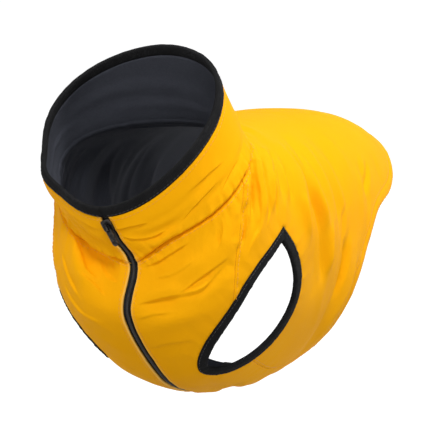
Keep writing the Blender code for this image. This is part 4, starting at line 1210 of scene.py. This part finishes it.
def rowTree(name, twoSides):
    # oblong beads along lines: stitches run along the line, zip teeth lie across it by turns on two sides
    sizes = {"Pitch": 0.003, "Half Length": 0.0012, "Half Width": 0.0003, "Half Height": 0.0003, "Aside": 0.0,
             "Unevenness": 0.05}
    tree = Tree(name, [(label, "NodeSocketFloat", value) for label, value in sizes.items()]
                + [("Seed", "NodeSocketInt", 7), ("Material", "NodeSocketMaterial", None)])
    given = tree.given
    curve = tree.add("GeometryNodeMeshToCurve", None, {"Mesh": given["Geometry"]})
    rows = tree.add("GeometryNodeResampleCurve", {"mode": "LENGTH"}, {
        "Curve": curve["Curve"], "Length": given["Pitch"]})
    outward = tree.add("GeometryNodeInputNamedAttribute", {"data_type": "FLOAT_VECTOR"}, {"Name": "outward"})
    tangent = tree.add("GeometryNodeInputTangent")
    facing = tree.add("FunctionNodeAxesToRotation", {"primary_axis": "Z", "secondary_axis": "Y"}, {
        "Primary Axis": outward["Attribute"], "Secondary Axis": tangent["Tangent"]})
    stored = tree.add("GeometryNodeStoreNamedAttribute", {"data_type": "QUATERNION", "domain": "POINT"}, {
        "Geometry": rows["Curve"], "Name": "facing", "Value": facing["Rotation"]})
    points = tree.add("GeometryNodeCurveToPoints", {"mode": "EVALUATED"}, {"Curve": stored["Geometry"]})
    turned = tree.add("GeometryNodeInputNamedAttribute", {"data_type": "QUATERNION"}, {"Name": "facing"})
    bead = tree.add("GeometryNodeMeshUVSphere", None, {"Segments": 8, "Rings": 5, "Radius": 1.0})
    across, along = ("Half Length", "Half Width") if twoSides else ("Half Width", "Half Length")
    size = tree.add("ShaderNodeCombineXYZ", None, {
        "X": given[across], "Y": given[along], "Z": given["Half Height"]})
    change = tree.add("FunctionNodeRandomValue", {"data_type": "FLOAT"}, {
        "Seed": given["Seed"], 2: 1.0 - given["Unevenness"], 3: 1.0 + given["Unevenness"]})
    scaled = tree.add("ShaderNodeVectorMath", {"operation": "SCALE"}, {0: size["Vector"], "Scale": change[1]})
    joined = tree.add("GeometryNodeJoinGeometry")
    for side in ((1, -1) if twoSides else (0,)):
        cloud = tree.add("GeometryNodeInstanceOnPoints", None, {
            "Points": points["Points"], "Instance": bead["Mesh"], "Rotation": turned["Attribute"],
            "Scale": scaled["Vector"]})
        if side:
            index = tree.add("GeometryNodeInputIndex")["Index"]
            wanted = tree.add("FunctionNodeCompare", {
                "data_type": "FLOAT", "operation": "GREATER_THAN" if side > 0 else "LESS_THAN"},
                {0: index.work("MODULO", 2.0), 1: 0.5})
            tree.tree.links.new(wanted[0].socket, cloud.node.inputs["Selection"])
            aside = tree.add("ShaderNodeCombineXYZ", None, {"X": given["Aside"] * float(side)})
            cloud = tree.add("GeometryNodeTranslateInstances", None, {
                "Instances": cloud["Instances"], "Translation": aside["Vector"], "Local Space": True})
        tree.tree.links.new(cloud["Instances"].socket, joined.node.inputs["Geometry"])
    tree.finish(joined["Geometry"])
    return tree


chain = zipStations(hemEnd + zipParts["chainRise"], chainEnd, zipParts["chainPitch"])
teethPath = pathMesh("teethPath", [skin(pairs(chain, 180.0), zipParts["toothDepth"])])
zipTeeth = bakeNodes(teethPath, rowTree("zipTeethRow", True), {
    "Pitch": zipParts["toothPitch"] / 2, "Half Length": zipParts["toothReach"],
    "Half Width": zipParts["toothWidth"], "Half Height": zipParts["toothHeight"],
    "Aside": zipParts["toothAside"], "Unevenness": 0.02, "Seed": 3,
}, "zipTeeth", blackTeeth)
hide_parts("zip_chain")
sweptBand("zipTeethCore", besideZip(chain, -zipParts["coreHalf"]), besideZip(chain, zipParts["coreHalf"]),
          zipParts["coreSection"], False, blackTeeth, "zip_chain")
for node, material in (("zip_stop", blackTeeth), ("zip_slider", blackMetal), ("zip_pull", blackMetal)):
    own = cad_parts[node]
    own.data.materials.clear()
    own.data.materials.append(material)
print("zip made", len(zipTeeth.data.polygons), "faces of teeth")

# the sewing that shows
stitching = {"pitch": 0.0031, "halfLength": 0.00125, "halfWidth": 0.00026, "halfHeight": 0.00022,
             "unevenness": 0.08, "seed": 11, "lift": 0.00006,
             "hemEnds": 177,           # degrees at which the hem's row stops, beside the zip
             "onBinding": 0.17,        # the binding's row: how far across it, and how high on it
             "bindingLift": 0.00058}


def sewnLine(line):
    point, normal = skin(line)
    return point + normal * (sewnHeight(line) + stitching["lift"])[:, None], normal


zipWhole = np.vstack([cuts["zip"], collarEnd(seam[-1], top[-1])[1:]])
zipAside = halfZip + sewing["zipStitchIn"]
yellowLines = [sewnLine(besideZip(zipWhole[1:-1, 0], zipAside, sign)) for sign in (1, -1)]
yellowLines.append(sewnLine(belowRim(turn[3:-3], cutLines["bindingWidth"] + sewing["rimStitchIn"])))
yellowLines.append(sewnLine(beside(seam, sewing["seamStitchIn"])[3:-3]))
hemStitch = beside(wholeHem(cuts), sewing["hemDepth"])
yellowLines.append(sewnLine(hemStitch[np.abs(hemStitch[:, 1]) < stitching["hemEnds"]]))
for name in ("shoulder", "side"):
    row = beside(cuts[name][1:-1], sewing["seamStitchIn"])
    yellowLines += [sewnLine(row), sewnLine(rightSide(row))]
blackLines = []
for low, high, closed in ((rimLow, rimHigh, False), (*rails, True), (*rightRails, True)):
    run = low + (high - low) * stitching["onBinding"]
    point, normal = skin(np.vstack([run, run[:1]]) if closed else run[2:-2])
    blackLines.append((point + normal * stitching["bindingLift"], normal))
stitchTree = rowTree("stitchRow", False)
stitchSizes = {"Pitch": stitching["pitch"], "Half Length": stitching["halfLength"],
               "Half Width": stitching["halfWidth"], "Half Height": stitching["halfHeight"],
               "Aside": 0.0, "Unevenness": stitching["unevenness"], "Seed": stitching["seed"]}
yellowStitches = bakeNodes(pathMesh("yellowPaths", yellowLines), stitchTree, stitchSizes, "yellowStitches",
                           yellowThread)
blackStitches = bakeNodes(pathMesh("blackPaths", blackLines), stitchTree, stitchSizes, "blackStitches",
                          blackThread)
print("sewing made", len(yellowStitches.data.polygons) + len(blackStitches.data.polygons), "faces")

# floor, light and camera. The floor is a dish whose rim rises, and it glows with painted light but for a dim
# patch by the jacket, which shows as a darker disc under it
studio = {
    "floorHeight": -0.45, "flatRadius": 1.6, "rise": 0.10, "spokes": 96,
    "rims": [0.4, 0.8, 1.2, 1.6, 2.0, 2.5, 3.0, 3.5, 4.0, 4.6, 5.2, 5.8, 6.4, 7.0],
    "floorTone": 0.38, "glow": 0.88, "glowFrom": (0.20, -0.48), "glowReach": (0.62, 1.36), "world": 0.08,
    # lamps: place, what each looks at, size, power
    "keyLight": ((0.86, 0.36, 1.94), (0, 0, -0.05), 0.45, 41.0),
    "sideLight": ((-1.43, -0.60, 1.51), (0, 0, -0.05), 0.6, 5.0),
    "fillLight": ((0.60, -1.43, 1.51), (0, -0.05, -0.05), 0.7, 25.0),
}
rims, spokes = np.array(studio["rims"]), studio["spokes"]
heights = studio["floorHeight"] + studio["rise"] * np.maximum(rims - studio["flatRadius"], 0)**2
around = np.linspace(0, 2 * math.pi, spokes, endpoint=False)
dish = [(r * math.cos(a), r * math.sin(a), z) for r, z in zip(rims, heights) for a in around]
quads = [(start + j, start + spokes + j, start + spokes + (j + 1) % spokes, start + (j + 1) % spokes)
         for start in range(0, (len(rims) - 1) * spokes, spokes) for j in range(spokes)]
floorMesh = bpy.data.meshes.new("studioFloor")
floorMesh.from_pydata(dish, [], quads + [tuple(range(spokes))])
floorMesh.shade_smooth()
floor = linked("studioFloor", floorMesh)
paper = Shade("paleFloor")
place = paper.split(paper.place["Object"])
fromX, fromY = place["X"] - studio["glowFrom"][0], place["Y"] - studio["glowFrom"][1]
# the floor's glow is painted light, faded out towards the patch by the jacket
paintedGlowShare = paper.spread((fromX * fromX + fromY * fromY)**0.5, *studio["glowReach"])
floorMesh.materials.append(paper.finish(
    Base_Color=(*[studio["floorTone"]] * 3, 1), Roughness=0.9, Emission_Strength=studio["glow"],
    Emission_Color=paper.mix(paintedGlowShare, (0, 0, 0, 1), (1, 1, 1, 1))))
world = bpy.data.worlds.new("studioWorld")
world.use_nodes = True
background = world.node_tree.nodes["Background"].inputs
background["Color"].default_value = (1, 1, 1, 1)
background["Strength"].default_value = studio["world"]
scene.world = world


def aimed(name, data, place, look):
    thing = linked(name, data)
    thing.location = place
    thing.rotation_mode = "QUATERNION"
    thing.rotation_quaternion = look.to_track_quat("-Z", "Y")
    return thing


for name in ("keyLight", "sideLight", "fillLight"):
    place, target, size, power = studio[name]
    light = bpy.data.lights.new(name, "AREA")
    light.shape = "DISK"
    light.size = size
    light.energy = power
    aimed(name, light, place, Vector(target) - Vector(place))

# the photo's own viewpoint, turned to the jacket, with the part of the photo that it fills, in pixels
photoCamera = {"place": (0.69145, -1.55303, 0.10), "yaw": 22.788, "down": 7.251, "focalPixels": 784.0,
               "frame": 433.0, "middle": (205.0, 195.0), "shown": 150.0, "sensor": 36.0, "clip": (0.01, 100.0)}
yaw, down = math.radians(photoCamera["yaw"]), math.radians(photoCamera["down"])
look = Vector((-math.sin(yaw) * math.cos(down), math.cos(yaw) * math.cos(down), -math.sin(down)))
lens = bpy.data.cameras.new("photoCamera")
lens.sensor_width = photoCamera["sensor"]
lens.lens = photoCamera["focalPixels"] / photoCamera["shown"] * photoCamera["sensor"]
lens.clip_start, lens.clip_end = photoCamera["clip"]
aside = look.cross(Vector((0, 0, 1))).normalized()
right, up = ((at - photoCamera["frame"] / 2) / photoCamera["focalPixels"] for at in photoCamera["middle"])
look = look + aside * right - aside.cross(look) * up
scene.camera = aimed("photoCamera", lens, photoCamera["place"], look)
scene.view_settings.view_transform = "Standard"
print("studio made")
